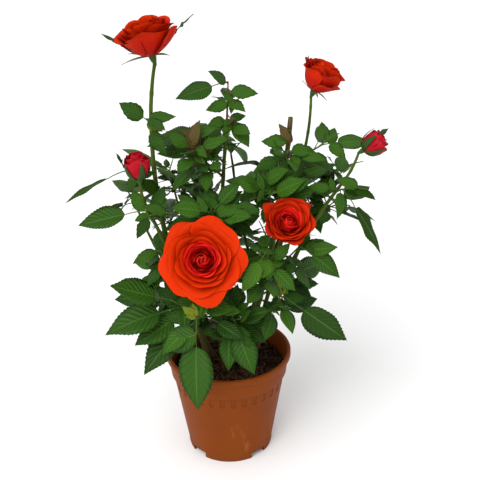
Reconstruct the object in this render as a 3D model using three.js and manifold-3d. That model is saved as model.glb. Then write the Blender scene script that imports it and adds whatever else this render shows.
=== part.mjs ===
// A rose bush in its thin plastic nursery pot. Millimetres, +Z up, the large open bloom faces -Y.
// Canes stand on the soil. Every foliage mass is one shoot: a stem, leaf stalks and leaflets
// that follow one seeded rule. Every bloom is one stalk with its hip, sepals and petals.
import * as THREE from 'three'
import { mergeVertices } from 'three/addons/utils/BufferGeometryUtils.js'
import loadManifold from 'manifold-3d'

const wasm = await loadManifold()
wasm.setup()

// ---------------------------------------------------------------- driving dimensions
const CLEAR = 0.3 // gap that touching solids keep
const POT_RADIUS = 65 // over the rim bead: a 130 mm pot
const POT_HEIGHT = 113.8
const POT_BASE = 44 // radius of the foot ring
const POT_WALL = 1.5
const STEP_HEIGHT = 88 // where the body steps out to the collar
const STEP_RADIUS = 58.3
const FOOT_LIFT = 8 // underside of the raised floor
const PAD_RADIUS = 14 // middle pad that reaches the ground
const POT_SEGMENTS = 32 // one flat for each dentil
const NOTCHES = { count: 4, width: 18, height: 6.6 } // gaps between the pot's feet
const DRAINS = { count: 8, radius: 4, circle: 29 }
const COLLAR = { low: 60.5, high: 62.3, inside: 58.8, bottom: 90, top: 105.5 } // radii and heights
const BEAD_BOTTOM = 107.5
const DENTILS = { width: 4.6, height: 10.5, depth: 0.7, middle: 82 }
const SOIL_TOP = 97
const SOIL_EDGE = 92.5
const SOIL_CROWN = 35 // radius of the soil's level middle
const CANE_FOOT = SOIL_TOP + CLEAR
const FLARE = 0.45 // extra share of a cane's radius at its foot
const CROWN = { middle: new THREE.Vector3(2, 2, 262), reach: new THREE.Vector3(166, 124, 190) }
const LEAF = { share: 0.69, single: 0.88, width: 0.56, fold: 0.16, droop: 0.06, sink: 0.7, large: 36 }
const WOBBLE = { roll: 14, spread: 8, tilt: 16, size: 0.1 } // how far the seeded draws carry a leaflet
const PAIRS = [{ at: 0.56, size: 0.63, spread: 66 }, { at: 0.14, size: 0.5, spread: 72 }]
const LIGHT = { up: 0.7, aside: 0.63, outward: 0.4 } // where the blades look
const LIGHT_TURNS = { at: 48, over: 14 } // blades further back than this look to the back
const STALK_RADIUS = 0.75
const STEM_RADIUS = [1.5, 0.9] // a shoot's stem, at its foot and its end
const STEM_ROOM = 14 // the farthest a stem may start from its limb's middle line
const CANE_SIDES = 6
const LIMB_PIECES = 6
const TURN = 137.5 // degrees between one leaf and the next on a stem
const HIP = { length: 0.2, width: 0.07 } // the hip under a bloom, as shares of its petals' length
const FIRST_PETAL = 59 // degrees from the right, seen from the front
const HEART = { outer: 0.6, inner: 0.1, groove: 0.16, lobe: 0.07, segments: 10 } // packed inner petals

// canes: foot on the soil, bend, tip, radius at foot and tip
const CANES = {
  cane_left: { foot: [-16, 6], bend: [-74, 2, 235], tip: [-66, -5, 371], radius: [3.3, 2.0] },
  cane_left_front: { foot: [-20, -10], bend: [-38, -36, 215], tip: [-69, -45, 287], radius: [2.9, 1.7] },
  cane_middle: { foot: [-2, 18], bend: [-10, 10, 230], tip: [3, 20, 345], radius: [2.9, 1.7] },
  cane_pruned: { foot: [16, 14], bend: [54, 12, 230], tip: [64, 15, 358], radius: [3.2, 2.3] },
  cane_right: { foot: [8, 30], bend: [60, 44, 215], tip: [79, 28, 322], radius: [2.9, 1.6] },
  cane_far_right: { foot: [24, -2], bend: [62, -16, 235], tip: [112, -5, 297], radius: [2.8, 1.6] },
  cane_front: { foot: [-4, -14], bend: [-8, -26, 165], tip: [-16, -36, 218], radius: [2.8, 1.9] },
  cane_right_front: { foot: [14, -17], bend: [38, -20, 165], tip: [54, -20, 245], radius: [2.7, 1.7] }
}
// boughs leave a cane part of the way up and fill the back of the crown
const BOUGHS = {
  bough_back_left: { on: 'cane_middle', at: 0.3, bend: [-36, 42, 205], tip: [-50, 60, 252],
    radius: [2.1, 1.3] },
  bough_back: { on: 'cane_right', at: 0.3, bend: [16, 62, 200], tip: [8, 78, 286],
    radius: [2.1, 1.3] },
  bough_back_right: { on: 'cane_right', at: 0.52, bend: [74, 60, 225], tip: [96, 64, 262],
    radius: [2.0, 1.3] },
  bough_left: { on: 'cane_left', at: 0.36, bend: [-72, 34, 205], tip: [-88, 50, 242],
    radius: [2.0, 1.3] }
}

// shoots: the limb and the place on it, heading and rise of the stem, its length, then its leaves,
// each with its place on the stem, heading, rise and length. Headings: 0 right, 90 back, -90 front.
const SHOOTS = {
  foliage_upper_left: { on: 'cane_left', at: 0.97, stem: [-110, 25, 12],
    leaves: [[0.9, -168, 36, 30], [1, 20, 0, 30], [0.8, -39, -13, 24], [0.6, -45, -56, 38],
      [0.5, 2, -12, 46], [0.7, 80, 10, 40]] },
  foliage_left_arm: { on: 'cane_left', at: 0.78, stem: [-142, 18, 30],
    leaves: [[1, -166, -18, 68, 60], [0.5, -120, -30, 26], [0.6, 8, -59, 36]] },
  foliage_left: { on: 'cane_left_front', at: 0.9, stem: [-133, 59, 24],
    leaves: [[1, -173, -7, 64], [0.5, 136, 37, 36], [0.6, -134, -39, 24], [0.4, 70, 45, 38]] },
  foliage_lower_left: { on: 'cane_front', at: 0.45, stem: [-140, 41, 77],
    leaves: [[0.9, -159, 26, 68], [0.7, -162, -6, 82], [0.45, -142, -30, 80], [0.3, 160, 20, 48],
      [0.6, -150, -20, 64], [0.8, 178, 42, 30]] },
  foliage_front: { on: 'cane_front', at: 0.55, stem: [-109, 27, 61],
    leaves: [[1, -99, -73, 92], [0.5, -33, -17, 44], [0.85, -160, -38, 52], [0.6, 175, 0, 44]] },
  foliage_left_middle: { on: 'cane_left_front', at: 0.55, stem: [-147, 60, 42],
    leaves: [[1, -150, -9, 30], [0.6, -130, -23, 34], [0.8, 100, 10, 46], [1, 137, 54, 50]] },
  foliage_centre_top: { on: 'cane_middle', at: 1, stem: [65, 83, 46],
    leaves: [[1, -163, -10, 54], [0.8, -8, -4, 30], [0.6, -42, -17, 24], [0.2, -137, -2, 26],
      [0.3, -44, -39, 40], [0.1, -53, 0, 36], [0.5, 90, 10, 40], [0.95, -152, 39, 26]] },
  foliage_centre_left: { on: 'cane_middle', at: 0.8, stem: [-136, 44, 56],
    leaves: [[1, -4, 16, 38], [1, -167, 42, 30], [0.8, -120, -10, 36], [0.6, -135, -24, 46],
      [0.4, -96, -14, 40], [0.5, 60, 50, 44], [1, 7, 74, 30]] },
  foliage_centre: { on: 'cane_middle', at: 0.55, stem: [-97, 40, 72],
    leaves: [[1, -158, 20, 42], [0.8, -41, 17, 48], [0.6, -150, 5, 54], [0.4, 30, 0, 50],
      [0.95, -80, -20, 42], [1, 19, 47, 40], [0.8, 9, 43, 36], [1, 0, 12, 30]] },
  foliage_centre_right: { on: 'cane_pruned', at: 0.8, stem: [-72, 66, 34],
    leaves: [[1, 164, 1, 30], [0.6, -10, -9, 38], [0.4, -151, -3, 36], [0.5, -80, -5, 36],
      [0.6, 120, 20, 44]] },
  foliage_right_heart: { on: 'cane_pruned', at: 0.6, stem: [-108, 50, 54],
    leaves: [[1, -151, 30, 40], [0.8, -100, -8, 42], [0.6, -30, 24, 50], [0.4, -160, 0, 46],
      [0.3, 40, 0, 48]] },
  foliage_right_top: { on: 'cane_right', at: 0.97, stem: [-28, 33, 23],
    leaves: [[1, 0, 7, 50], [0.6, -136, -5, 30], [0.3, -54, -20, 30], [0.5, 70, 12, 50]] },
  foliage_right_node: { on: 'cane_far_right', at: 0.94, stem: [-60, 34, 12],
    leaves: [[1, -6, -55, 80, -30], [0.8, -95, -52, 30], [0.9, 12, -12, 26], [0.6, -179, 11, 32],
      [0.4, 80, 5, 44]] },
  foliage_right: { on: 'cane_right_front', at: 0.8, stem: [-33, 50, 43],
    leaves: [[1, -21, -30, 50], [0.8, -12, 9, 42], [0.6, -84, 4, 28], [0.5, -33, -44, 38]] },
  foliage_lower_right: { on: 'cane_right_front', at: 0.45, stem: [-44, 49, 46],
    leaves: [[1, -9, -36, 78, 40], [0.8, -70, -26, 40], [0.6, -106, -20, 46], [0.4, 20, 0, 52]] },
  foliage_between_blooms: { on: 'cane_right_front', at: 0.65, stem: [-95, 64, 65],
    leaves: [[1, -142, -47, 48], [0.9, -127, 34, 30], [0.7, -40, -30, 40], [0.5, 160, -10, 46],
      [0.35, -80, 0, 40], [0.6, -13, 49, 34]] },
  foliage_front_right: { on: 'cane_front', at: 0.3, stem: [-69, 52, 58],
    leaves: [[1, -59, -55, 62], [0.8, -35, 30, 50], [0.8, -97, -46, 50], [0.9, -48, -34, 34],
      [0.5, -120, 20, 46], [0.4, 10, 10, 50], [0.9, -47, 48, 34]] }
}
// seeded shoots on the boughs and on the canes' far sides, worked out by SPRAY
const SPRAYS = {
  bough_back_left: [1, 0.66, 0.34], bough_back: [1, 0.66, 0.34], bough_back_right: [1, 0.6],
  bough_left: [1, 0.55], cane_right: [0.75, 0.24],
  cane_middle: [0.86, 0.3], cane_left: [0.24]
}
const SPRAY = { length: 40, rise: [20, 48], aside: 70, leaves: 5, leaf: [46, 66], leafRise: [-18, 30] }

// blooms: the cane whose tip carries it, the seat of its petals, the way it faces, how far it is
// open (0 a bud, 1 flat), petal length and width, the shares of its outer layers, and its sepals
const BLOOMS = {
  bloom_front: { on: 'cane_front', seat: [-21, -56, 243], facing: [-88, 28], open: 1, petal: 42, width: 44,
    outer: [1, 0.82], sepal: 24, long: [] },
  bloom_right: { on: 'cane_right_front', seat: [59, -27, 264], facing: [-86, 37], open: 0.52, petal: 30,
    width: 30, outer: [1, 0.8], sepal: 22, long: [] },
  bloom_top_left: { on: 'cane_left', seat: [-62, -5, 424], facing: [-160, 74], open: 0.42, petal: 38,
    width: 42, outer: [1, 0.8], sepal: 24, long: [[5, 50, 72], [178, 46, 50]] },
  bloom_top_right: { on: 'cane_right', seat: [86, 20, 382], facing: [-15, 66], open: 0.24, petal: 32,
    width: 30, outer: [1], sepal: 20, long: [[170, 33, 20]] },
  bud_left: { on: 'cane_left_front', seat: [-76, -47, 322], facing: [180, 84], open: 0.02, petal: 25,
    width: 22, outer: [1], sepal: 24, long: [[170, 30, 20]] },
  bud_right: { on: 'cane_far_right', seat: [132, 0, 329], facing: [0, 32], open: 0.04, petal: 24,
    width: 20, outer: [1], sepal: 24, long: [[90, 34, 10]] }
}

// ---------------------------------------------------------------- solids and directions
const vec = (x, y, z) => new THREE.Vector3(x, y, z)
const radians = THREE.MathUtils.degToRad
const mix = THREE.MathUtils.lerp

function solidOf (geometry) {
  geometry.deleteAttribute('normal')
  geometry.deleteAttribute('uv')
  const welded = mergeVertices(geometry)
  const corners = []
  for (let i = 0; i < welded.index.count; i += 3) {
    const [a, b, c] = [0, 1, 2].map(k => welded.index.getX(i + k))
    if (a !== b && b !== c && c !== a) corners.push(a, b, c)
  }
  return new wasm.Manifold(new wasm.Mesh({
    numProp: 3,
    vertProperties: new Float32Array(welded.attributes.position.array),
    triVerts: new Uint32Array(corners)
  }))
}

function geometryOf (solid) {
  const mesh = solid.getMesh()
  const geometry = new THREE.BufferGeometry()
  geometry.setAttribute('position', new THREE.BufferAttribute(new Float32Array(mesh.vertProperties), 3))
  geometry.setIndex(new THREE.BufferAttribute(new Uint32Array(mesh.triVerts), 1))
  geometry.computeVertexNormals()
  return geometry
}

function reshaped (geometry, move) {
  const spots = geometry.attributes.position
  for (let i = 0; i < spots.count; i++) {
    const spot = move(spots.getX(i), spots.getY(i), spots.getZ(i))
    spots.setXYZ(i, spot.x, spot.y, spot.z)
  }
  return solidOf(geometry)
}

// the largest piece of a union, with loose scraps dropped
function fused (pieces) {
  const parts = wasm.Manifold.union(pieces).decompose()
  return parts.reduce((best, part) => part.volume() > best.volume() ? part : best)
}

function headed (heading, rise) {
  const flat = Math.cos(radians(rise))
  return vec(Math.cos(radians(heading)) * flat, Math.sin(radians(heading)) * flat, Math.sin(radians(rise)))
}

function seededDraws (seed) {
  let state = (seed * 2654435761) % 4294967296
  const next = () => { state = (state * 1664525 + 1013904223) % 4294967296; return state / 4294967296 }
  next()
  return (low, high) => low + (high - low) * next()
}

// a round or three-sided rod along a curve
function bentRod (curve, radiusAt, sides, pieces, flatFoot = false) {
  const level = vec(0, 1, 0)
  return reshaped(new THREE.CylinderGeometry(1, 1, 1, sides, pieces), (x, y, z) => {
    const t = y + 0.5
    const ahead = curve.getTangent(t)
    const across = vec().crossVectors(ahead, Math.abs(ahead.y) > 0.9 ? vec(1, 0, 0) : level).normalize()
    const over = vec().crossVectors(across, ahead)
    const wide = radiusAt(t)
    const spot = curve.getPoint(t).addScaledVector(across, x * wide).addScaledVector(over, z * wide)
    if (flatFoot && t < 1e-6) spot.z = curve.v0.z
    return spot
  })
}

// ---------------------------------------------------------------- what stands already
const kept = [] // every piece so far, with its node's name and box
function keep (node, solid) {
  kept.push({ node, solid, box: solid.boundingBox() })
}

function near (a, b) {
  return [0, 1, 2].every(k => a.min[k] - CLEAR < b.max[k] && b.min[k] - CLEAR < a.max[k])
}

// clear of every other node, and not through another leaf of its own node
function fits (node, solid, joined = []) {
  const box = solid.boundingBox()
  return kept.every(other => joined.includes(other.solid) || !near(box, other.box) ||
    other.solid.minGap(solid, 1) >= (other.node === node ? 0.01 : CLEAR))
}

// ---------------------------------------------------------------- pot and soil
function lathe (profile) {
  const turned = new THREE.LatheGeometry(profile.map(([r, z]) => new THREE.Vector2(r, z)), POT_SEGMENTS)
  turned.rotateX(Math.PI / 2)
  return solidOf(turned)
}

function around (count, start, place) {
  return Array.from({ length: count }, (_, i) => place(start + i * 360 / count))
}

function makePot () {
  const inner = STEP_RADIUS - POT_WALL
  const shell = lathe([
    [0, 0], [PAD_RADIUS, 0], [PAD_RADIUS + 3, FOOT_LIFT], [POT_BASE - 2.5, FOOT_LIFT],
    [POT_BASE - POT_WALL, 0], [POT_BASE, 0], [POT_BASE + 0.8, 3.2], [POT_BASE + 0.4, 4],
    [STEP_RADIUS, STEP_HEIGHT], [COLLAR.low, COLLAR.bottom], [COLLAR.high, COLLAR.top],
    [POT_RADIUS, BEAD_BOTTOM],
    [POT_RADIUS, POT_HEIGHT - 1.5], [POT_RADIUS - 1.2, POT_HEIGHT], [POT_RADIUS - 3.5, POT_HEIGHT - 0.6],
    [COLLAR.inside, COLLAR.bottom + 1.5], [inner, STEP_HEIGHT - 0.5],
    [POT_BASE - POT_WALL + 0.4, FOOT_LIFT + 2], [PAD_RADIUS + 2, FOOT_LIFT + 2], [PAD_RADIUS - 2, 2], [0, 2]
  ])
  const slope = Math.atan2(STEP_RADIUS - POT_BASE - 0.4, STEP_HEIGHT - 4)
  const flat = Math.cos(Math.PI / POT_SEGMENTS)
  const wallAtDentils = (STEP_RADIUS - (STEP_HEIGHT - DENTILS.middle) * Math.tan(slope)) * flat
  const cutters = [
    ...around(NOTCHES.count, 45, turn => {
      const gap = new THREE.BoxGeometry(12, NOTCHES.width, NOTCHES.height * 2)
      return solidOf(gap.translate(POT_BASE, 0, 0).rotateZ(radians(turn - 3)))
    }),
    ...around(DRAINS.count, 22.5, turn => {
      const hole = new THREE.CylinderGeometry(DRAINS.radius, DRAINS.radius, 6, 10).rotateX(Math.PI / 2)
      return solidOf(hole.translate(DRAINS.circle, 0, FOOT_LIFT + 1).rotateZ(radians(turn)))
    }),
    ...around(POT_SEGMENTS, 180 / POT_SEGMENTS, turn => {
      const bar = new THREE.BoxGeometry(DENTILS.depth * 2, DENTILS.width, DENTILS.height)
      return solidOf(bar.rotateY(slope).translate(wallAtDentils, 0, DENTILS.middle).rotateZ(radians(turn)))
    })
  ]
  return shell.subtract(wasm.Manifold.union(cutters))
}

function makeSoil () {
  const floor = FOOT_LIFT + 2 + CLEAR
  const gap = CLEAR + 0.2
  return lathe([
    [0, floor], [POT_BASE - POT_WALL + 0.4 - gap, floor], [STEP_RADIUS - POT_WALL - gap, STEP_HEIGHT - 0.5],
    [COLLAR.inside - gap - 0.1, COLLAR.bottom + 1.5], [COLLAR.inside - gap, SOIL_EDGE],
    [SOIL_CROWN, SOIL_TOP], [0, SOIL_TOP]
  ])
}

// ---------------------------------------------------------------- canes and boughs
const limbs = {} // name: { curve, radiusAt }

function makeLimb (name, from, bend, tip, radius, flare) {
  const curve = new THREE.QuadraticBezierCurve3(from, vec(...bend), vec(...tip))
  const radiusAt = t => mix(radius[0], radius[1], t) * (1 + flare * Math.exp(-t * 22))
  limbs[name] = { curve, radiusAt }
  return bentRod(curve, radiusAt, CANE_SIDES, LIMB_PIECES, flare > 0)
}

// where a stem that leaves a limb starts: beside the limb, or past its tip, and CLEAR of it
function startOnLimb (limb, at, toward, build) {
  const { curve, radiusAt } = limbs[limb]
  const spot = curve.getPoint(at)
  const ahead = curve.getTangent(at)
  const aside = at === 1 ? ahead : toward.clone().addScaledVector(ahead, -toward.dot(ahead)).normalize()
  const walls = kept.filter(other => other.node === limb).map(other => other.solid)
  for (let out = at === 1 ? CLEAR : radiusAt(at); out < STEM_ROOM; out += 0.1) {
    const solid = build(spot.clone().addScaledVector(aside, out))
    if (walls.every(wall => wall.minGap(solid, 1) >= CLEAR)) return solid
  }
  throw new Error('no room beside ' + limb)
}

function makeBough (name, { on, at, bend, tip, radius }) {
  const toward = vec(...bend).sub(limbs[on].curve.getPoint(at)).normalize()
  return startOnLimb(on, at, toward, from => makeLimb(name, from, bend, tip, radius, 0))
}

// ---------------------------------------------------------------- leaves
// a blade turns its face up, to its own side, and to the nearer of front and back
function sunward (root, along) {
  const outward = root.x / Math.hypot(root.x, root.y)
  const back = THREE.MathUtils.clamp((root.y - LIGHT_TURNS.at) / LIGHT_TURNS.over, -1, 1)
  const light = vec(LIGHT.outward * outward, LIGHT.aside * back, LIGHT.up)
  return light.addScaledVector(along, -light.dot(along)).normalize()
}

// stalk and leaflets of one leaf, as plain values
function leafPlan (root, heading, rise, length, roll, draw) {
  const along = headed(heading, rise)
  const facing = sunward(root, along).applyAxisAngle(along, radians(roll + draw(-WOBBLE.roll, WOBBLE.roll)))
  const pairs = length > 70 ? 2 : length > 30 ? 1 : 0
  const blade = length * (pairs ? LEAF.share : LEAF.single)
  const stalk = length - blade
  const bend = root.clone().addScaledVector(along, stalk / 2).addScaledVector(facing, stalk * 0.1)
  const end = root.clone().addScaledVector(along, stalk)
  const curve = new THREE.QuadraticBezierCurve3(root, bend, end)
  const blades = [{ root: end, along, facing, length: blade }]
  for (const { at, size, spread } of PAIRS.slice(0, pairs)) {
    for (const side of [-1, 1]) {
      const turned = side * (spread + draw(-WOBBLE.spread, WOBBLE.spread))
      const aside = along.clone().applyAxisAngle(facing, radians(turned))
      const tilted = facing.clone().applyAxisAngle(aside, radians(draw(-WOBBLE.tilt, WOBBLE.tilt)))
      const root = curve.getPoint(at - 0.06 * (1 + side))
      const share = size * draw(1 - WOBBLE.size, 1 + WOBBLE.size)
      blades.push({ root, along: aside, facing: tilted, length: blade * share })
    }
  }
  return { curve, blades }
}

function makeBlade ({ root, along, facing, length }) {
  const side = vec().crossVectors(along, facing)
  const start = root.clone().addScaledVector(along, -LEAF.sink)
  const reach = length + LEAF.sink
  const width = length * LEAF.width
  const thick = 0.8 + length * 0.004
  return reshaped(new THREE.SphereGeometry(1, length > LEAF.large ? 6 : 4, 2), (x, y, z) => {
    const t = Math.pow((1 + x) / 2, 1.15)
    const half = z * (1.16 - 0.45 * t) * width / 2
    const lift = y * thick / 2 + LEAF.fold * Math.abs(half) - LEAF.droop * reach * t * t
    const spot = start.clone().addScaledVector(along, reach * t)
    return spot.addScaledVector(side, half).addScaledVector(facing, lift)
  })
}

function insideCrown ({ root, along, length }) {
  const tip = root.clone().addScaledVector(along, length).sub(CROWN.middle).divide(CROWN.reach)
  return tip.x ** 4 + tip.y ** 4 + tip.z ** 4 < 1
}

// ---------------------------------------------------------------- foliage masses
const masses = {} // name: its pieces, stem first
const sidesToGrow = []

function growStem (name, limb, at, heading, rise, length) {
  const toward = headed(heading, rise)
  let curve
  const solid = startOnLimb(limb, at, toward, from => {
    const end = limbs[limb].curve.getPoint(at).addScaledVector(toward, length)
    const bend = from.clone().add(end).multiplyScalar(0.5).add(vec(0, 0, length * 0.05))
    curve = new THREE.QuadraticBezierCurve3(from, bend, end)
    return bentRod(curve, t => mix(...STEM_RADIUS, t), 3, 2)
  })
  if (!fits(name, solid)) return null
  masses[name] = [solid]
  keep(name, solid)
  return curve
}

function growLeaf (name, root, heading, rise, length, roll, draw) {
  const plan = leafPlan(root, heading, rise, length, roll, draw)
  const stalk = bentRod(plan.curve, () => STALK_RADIUS, 3, 1)
  const joined = [masses[name][0], stalk]
  if (!fits(name, stalk, joined)) return
  const [end, ...sides] = plan.blades
  if (!growBlade(name, end, joined)) return
  masses[name].push(stalk)
  keep(name, stalk)
  for (const side of sides) sidesToGrow.push([name, side, joined])
}

function growBlade (name, plan, joined) {
  if (!insideCrown(plan)) return false
  const blade = makeBlade(plan)
  if (!fits(name, blade, joined)) return false
  masses[name].push(blade)
  keep(name, blade)
  return true
}

// side leaflets come after every end leaflet, so that the crown's tips are all there
function growSides () {
  for (const side of sidesToGrow.splice(0)) growBlade(...side)
}

// leaves that the rule adds along a stem, a golden turn apart
function growMore (name, stem, heading, count, draw) {
  for (let i = 0; i < count; i++) {
    const at = 1 - 0.8 * i / count
    const toward = heading + 60 + i * TURN
    growLeaf(name, stem.getPoint(at), toward, draw(...SPRAY.leafRise), draw(...SPRAY.leaf), 0, draw)
  }
}

// ---------------------------------------------------------------- blooms
// the middle line of a petal: how far out and how far up it is, part of the way along
function petalLine (lean, length, start) {
  const steps = 16
  const line = [[start, 0]]
  for (let i = 0; i < steps; i++) {
    const v = (i + 0.5) / steps
    const angle = v < 0.5 ? mix(lean[0], lean[1], v * 2) : mix(lean[1], lean[2], v * 2 - 1)
    const [out, up] = line[i]
    const step = length / steps
    line.push([out + Math.sin(radians(angle)) * step, up + Math.cos(radians(angle)) * step])
  }
  return v => {
    const i = Math.min(Math.floor(v * steps), steps - 1)
    const part = v * steps - i
    return [mix(line[i][0], line[i + 1][0], part), mix(line[i][1], line[i + 1][1], part)]
  }
}

function makePetal (place, { turn, lean, length, width, start, spiral }, thick, corners) {
  const lineAt = petalLine(lean, length, start)
  const spot = (across, v) => {
    const [out, up] = lineAt(THREE.MathUtils.clamp(v, 0, 1))
    const angle = radians(turn) + across * Math.min(width / 2 / Math.max(out, 1), 0.7)
    const far = out + spiral * across * v
    return vec(Math.cos(angle) * far, Math.sin(angle) * far, up)
  }
  return reshaped(new THREE.SphereGeometry(1, corners, 2), (x, y, z) => {
    const v = (1 + z) / 2
    const here = spot(x, v)
    const across = spot(x + 0.02, v).sub(spot(x - 0.02, v))
    const along = spot(x, Math.min(v + 0.02, 1)).sub(spot(x, Math.max(v - 0.02, 0)))
    return here.addScaledVector(along.cross(across).normalize(), y * thick / 2).applyMatrix4(place)
  })
}

// petals from the heart (share 0) to the outside (share 1): how they lean, and how long they are
function layerLean (open, share) {
  const rim = 110 * open ** 1.5 - 10
  return [mix(30, 78 - 14 * open, share), mix(2, 14 + 43 * open, share), mix(-25, rim, share)]
}

function layerLength ({ open, petal }, share) {
  return petal * mix(1 - 0.3 * open, 1, share)
}

// the packed inner petals: a bowl of five lobes with one lip inside another
function makeHeart (place, bloom, hip) {
  const { open, petal } = bloom
  const bowl = petalLine(layerLean(open, HEART.outer), layerLength(bloom, HEART.outer), hip * 0.6)
  const bud = petalLine(layerLean(open, HEART.inner), layerLength(bloom, HEART.inner), hip * 0.6)
  const [lipOut, lipUp] = bowl(1)
  const [budOut, budUp] = bud(1)
  const valley = Math.min(lipUp, budUp) - HEART.groove * petal
  const profile = [
    [0, -2], [hip * 0.8, -1.5], ...[0.2, 0.45, 0.75].map(bowl), [lipOut, lipUp],
    [mix(lipOut, budOut, 0.5), valley], [budOut, budUp],
    [budOut * 0.45, budUp - HEART.groove * petal], [0, budUp - HEART.groove * petal * 0.4]
  ]
  const turned = new THREE.LatheGeometry(profile.map(([r, z]) => new THREE.Vector2(r, z)), HEART.segments)
  return reshaped(turned.rotateX(Math.PI / 2), (x, y, z) => {
    const lobe = 1 + HEART.lobe * Math.cos(5 * Math.atan2(y, x) + z * 0.15) * Math.max(z, 0) / lipUp
    return vec(x * lobe, y * lobe, z).applyMatrix4(place)
  })
}

// the stalk runs from its cane's tip to the hip under the bloom
function makeStalk (name, { on, seat, facing, petal }) {
  const { curve, radiusAt } = limbs[on]
  const ahead = curve.getTangent(1)
  const from = curve.getPoint(1).addScaledVector(ahead, CLEAR)
  const tip = vec(...seat).addScaledVector(headed(...facing), -petal * HIP.length)
  const bend = from.clone().addScaledVector(ahead, from.distanceTo(tip) * 0.5)
  return makeLimb(name, from, bend.toArray(), tip.toArray(), [radiusAt(1), radiusAt(1) * 0.8], 0)
}

function makeBloom (stalk, bloom) {
  const { open, petal } = bloom
  const { curve, radiusAt } = limbs[stalk]
  const seat = vec(...bloom.seat)
  const hip = 1.2 + petal * HIP.width
  const ahead = curve.getTangent(1)
  const from = curve.getPoint(1).addScaledVector(ahead, CLEAR)
  const middle = from.clone().addScaledVector(ahead, from.distanceTo(seat) * 0.5)
  const place = new THREE.Matrix4().makeRotationFromQuaternion(
    new THREE.Quaternion().setFromUnitVectors(vec(0, 0, 1), headed(...bloom.facing))).setPosition(seat)
  const neck = new THREE.QuadraticBezierCurve3(from, middle, seat)
  const pieces = [
    bentRod(neck, t => mix(radiusAt(1), hip, t), CANE_SIDES, 1),
    makeHeart(place, bloom, hip)
  ]
  bloom.outer.forEach((share, layer) => {
    for (let i = 0; i < 5; i++) {
      pieces.push(makePetal(place, {
        turn: FIRST_PETAL + layer * 36 + i * 72,
        lean: layerLean(open, share),
        length: layerLength(bloom, share),
        width: bloom.width,
        start: hip * 0.5,
        spiral: 1.4
      }, 1.1, 8))
    }
  })
  const sepals = [0, 1, 2, 3, 4].map(i => [i * 72 + 10, bloom.sepal, mix(5, 110, open)])
  for (const [turn, length, lean] of [...sepals, ...bloom.long]) {
    pieces.push(makePetal(place, {
      turn, length, lean: [64, mix(16, lean, 0.7), lean], width: length * 0.24, start: hip * 0.75, spiral: 0
    }, 1.2, 4))
  }
  return fused(pieces)
}

// ---------------------------------------------------------------- assembly
const FINISH = {
  terracotta: { color: '#a8572c', roughness: 0.45 },
  soil: { color: '#2c1b12', roughness: 0.95 },
  cane: { color: '#4c6a22', roughness: 0.55 },
  leaf: { color: '#2f6a2b', roughness: 0.5 },
  petal: { color: '#f0421a', roughness: 0.6 }
}
const bush = new THREE.Group()
bush.name = 'rose_bush'

function add (name, slot, solid) {
  const material = new THREE.MeshStandardMaterial({ ...FINISH[slot], metalness: 0 })
  material.name = slot
  const mesh = new THREE.Mesh(geometryOf(solid), material)
  mesh.name = name
  bush.add(mesh)
}

function addRigid (name, slot, solid) {
  keep(name, solid)
  add(name, slot, solid)
}

addRigid('pot', 'terracotta', makePot())
addRigid('soil', 'soil', makeSoil())
for (const [name, { foot, bend, tip, radius }] of Object.entries(CANES)) {
  addRigid(name, 'cane', makeLimb(name, vec(...foot, CANE_FOOT), bend, tip, radius, FLARE))
}
for (const [name, bough] of Object.entries(BOUGHS)) addRigid(name, 'cane', makeBough(name, bough))
for (const [name, bloom] of Object.entries(BLOOMS)) {
  const stalk = 'stalk_' + name
  addRigid(stalk, 'cane', makeStalk(stalk, bloom))
  addRigid(name, 'petal', makeBloom(stalk, bloom))
}

const growing = [] // stems first, then the aimed leaves, then the seeded ones
for (const [name, shoot] of Object.entries(SHOOTS)) {
  const stem = growStem(name, shoot.on, shoot.at, ...shoot.stem)
  if (!stem) throw new Error('no room for ' + name)
  growing.push({ name, stem, shoot, draw: seededDraws(growing.length + 1) })
}
for (const { name, stem, shoot, draw } of growing) {
  for (const [at, heading, rise, length, roll = 0] of shoot.leaves) {
    growLeaf(name, stem.getPoint(at), heading, rise, length, roll, draw)
  }
}
growSides()
let turn = 0
for (const [limb, places] of Object.entries(SPRAYS)) {
  for (const at of places) {
    turn += 1
    const ahead = limbs[limb].curve.getTangent(at)
    const outward = THREE.MathUtils.radToDeg(Math.atan2(ahead.y + 0.4, ahead.x))
    const heading = at === 1 ? outward : outward + (turn % 2 ? SPRAY.aside : -SPRAY.aside)
    const name = 'foliage_' + limb.replace('bough_', '').replace('cane_', 'inner_') + '_' + turn
    const draw = seededDraws(100 + turn)
    const stem = growStem(name, limb, at, heading, draw(...SPRAY.rise), SPRAY.length)
    if (stem) growMore(name, stem, heading, SPRAY.leaves, draw)
    growSides()
  }
}
for (const [name, pieces] of Object.entries(masses)) add(name, 'leaf', fused(pieces))

export default bush
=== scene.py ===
import math
from collections import namedtuple

import bmesh
import bpy
import numpy as np
from mathutils import Matrix, Quaternion, Vector, noise
from mathutils.bvhtree import BVHTree


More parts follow.
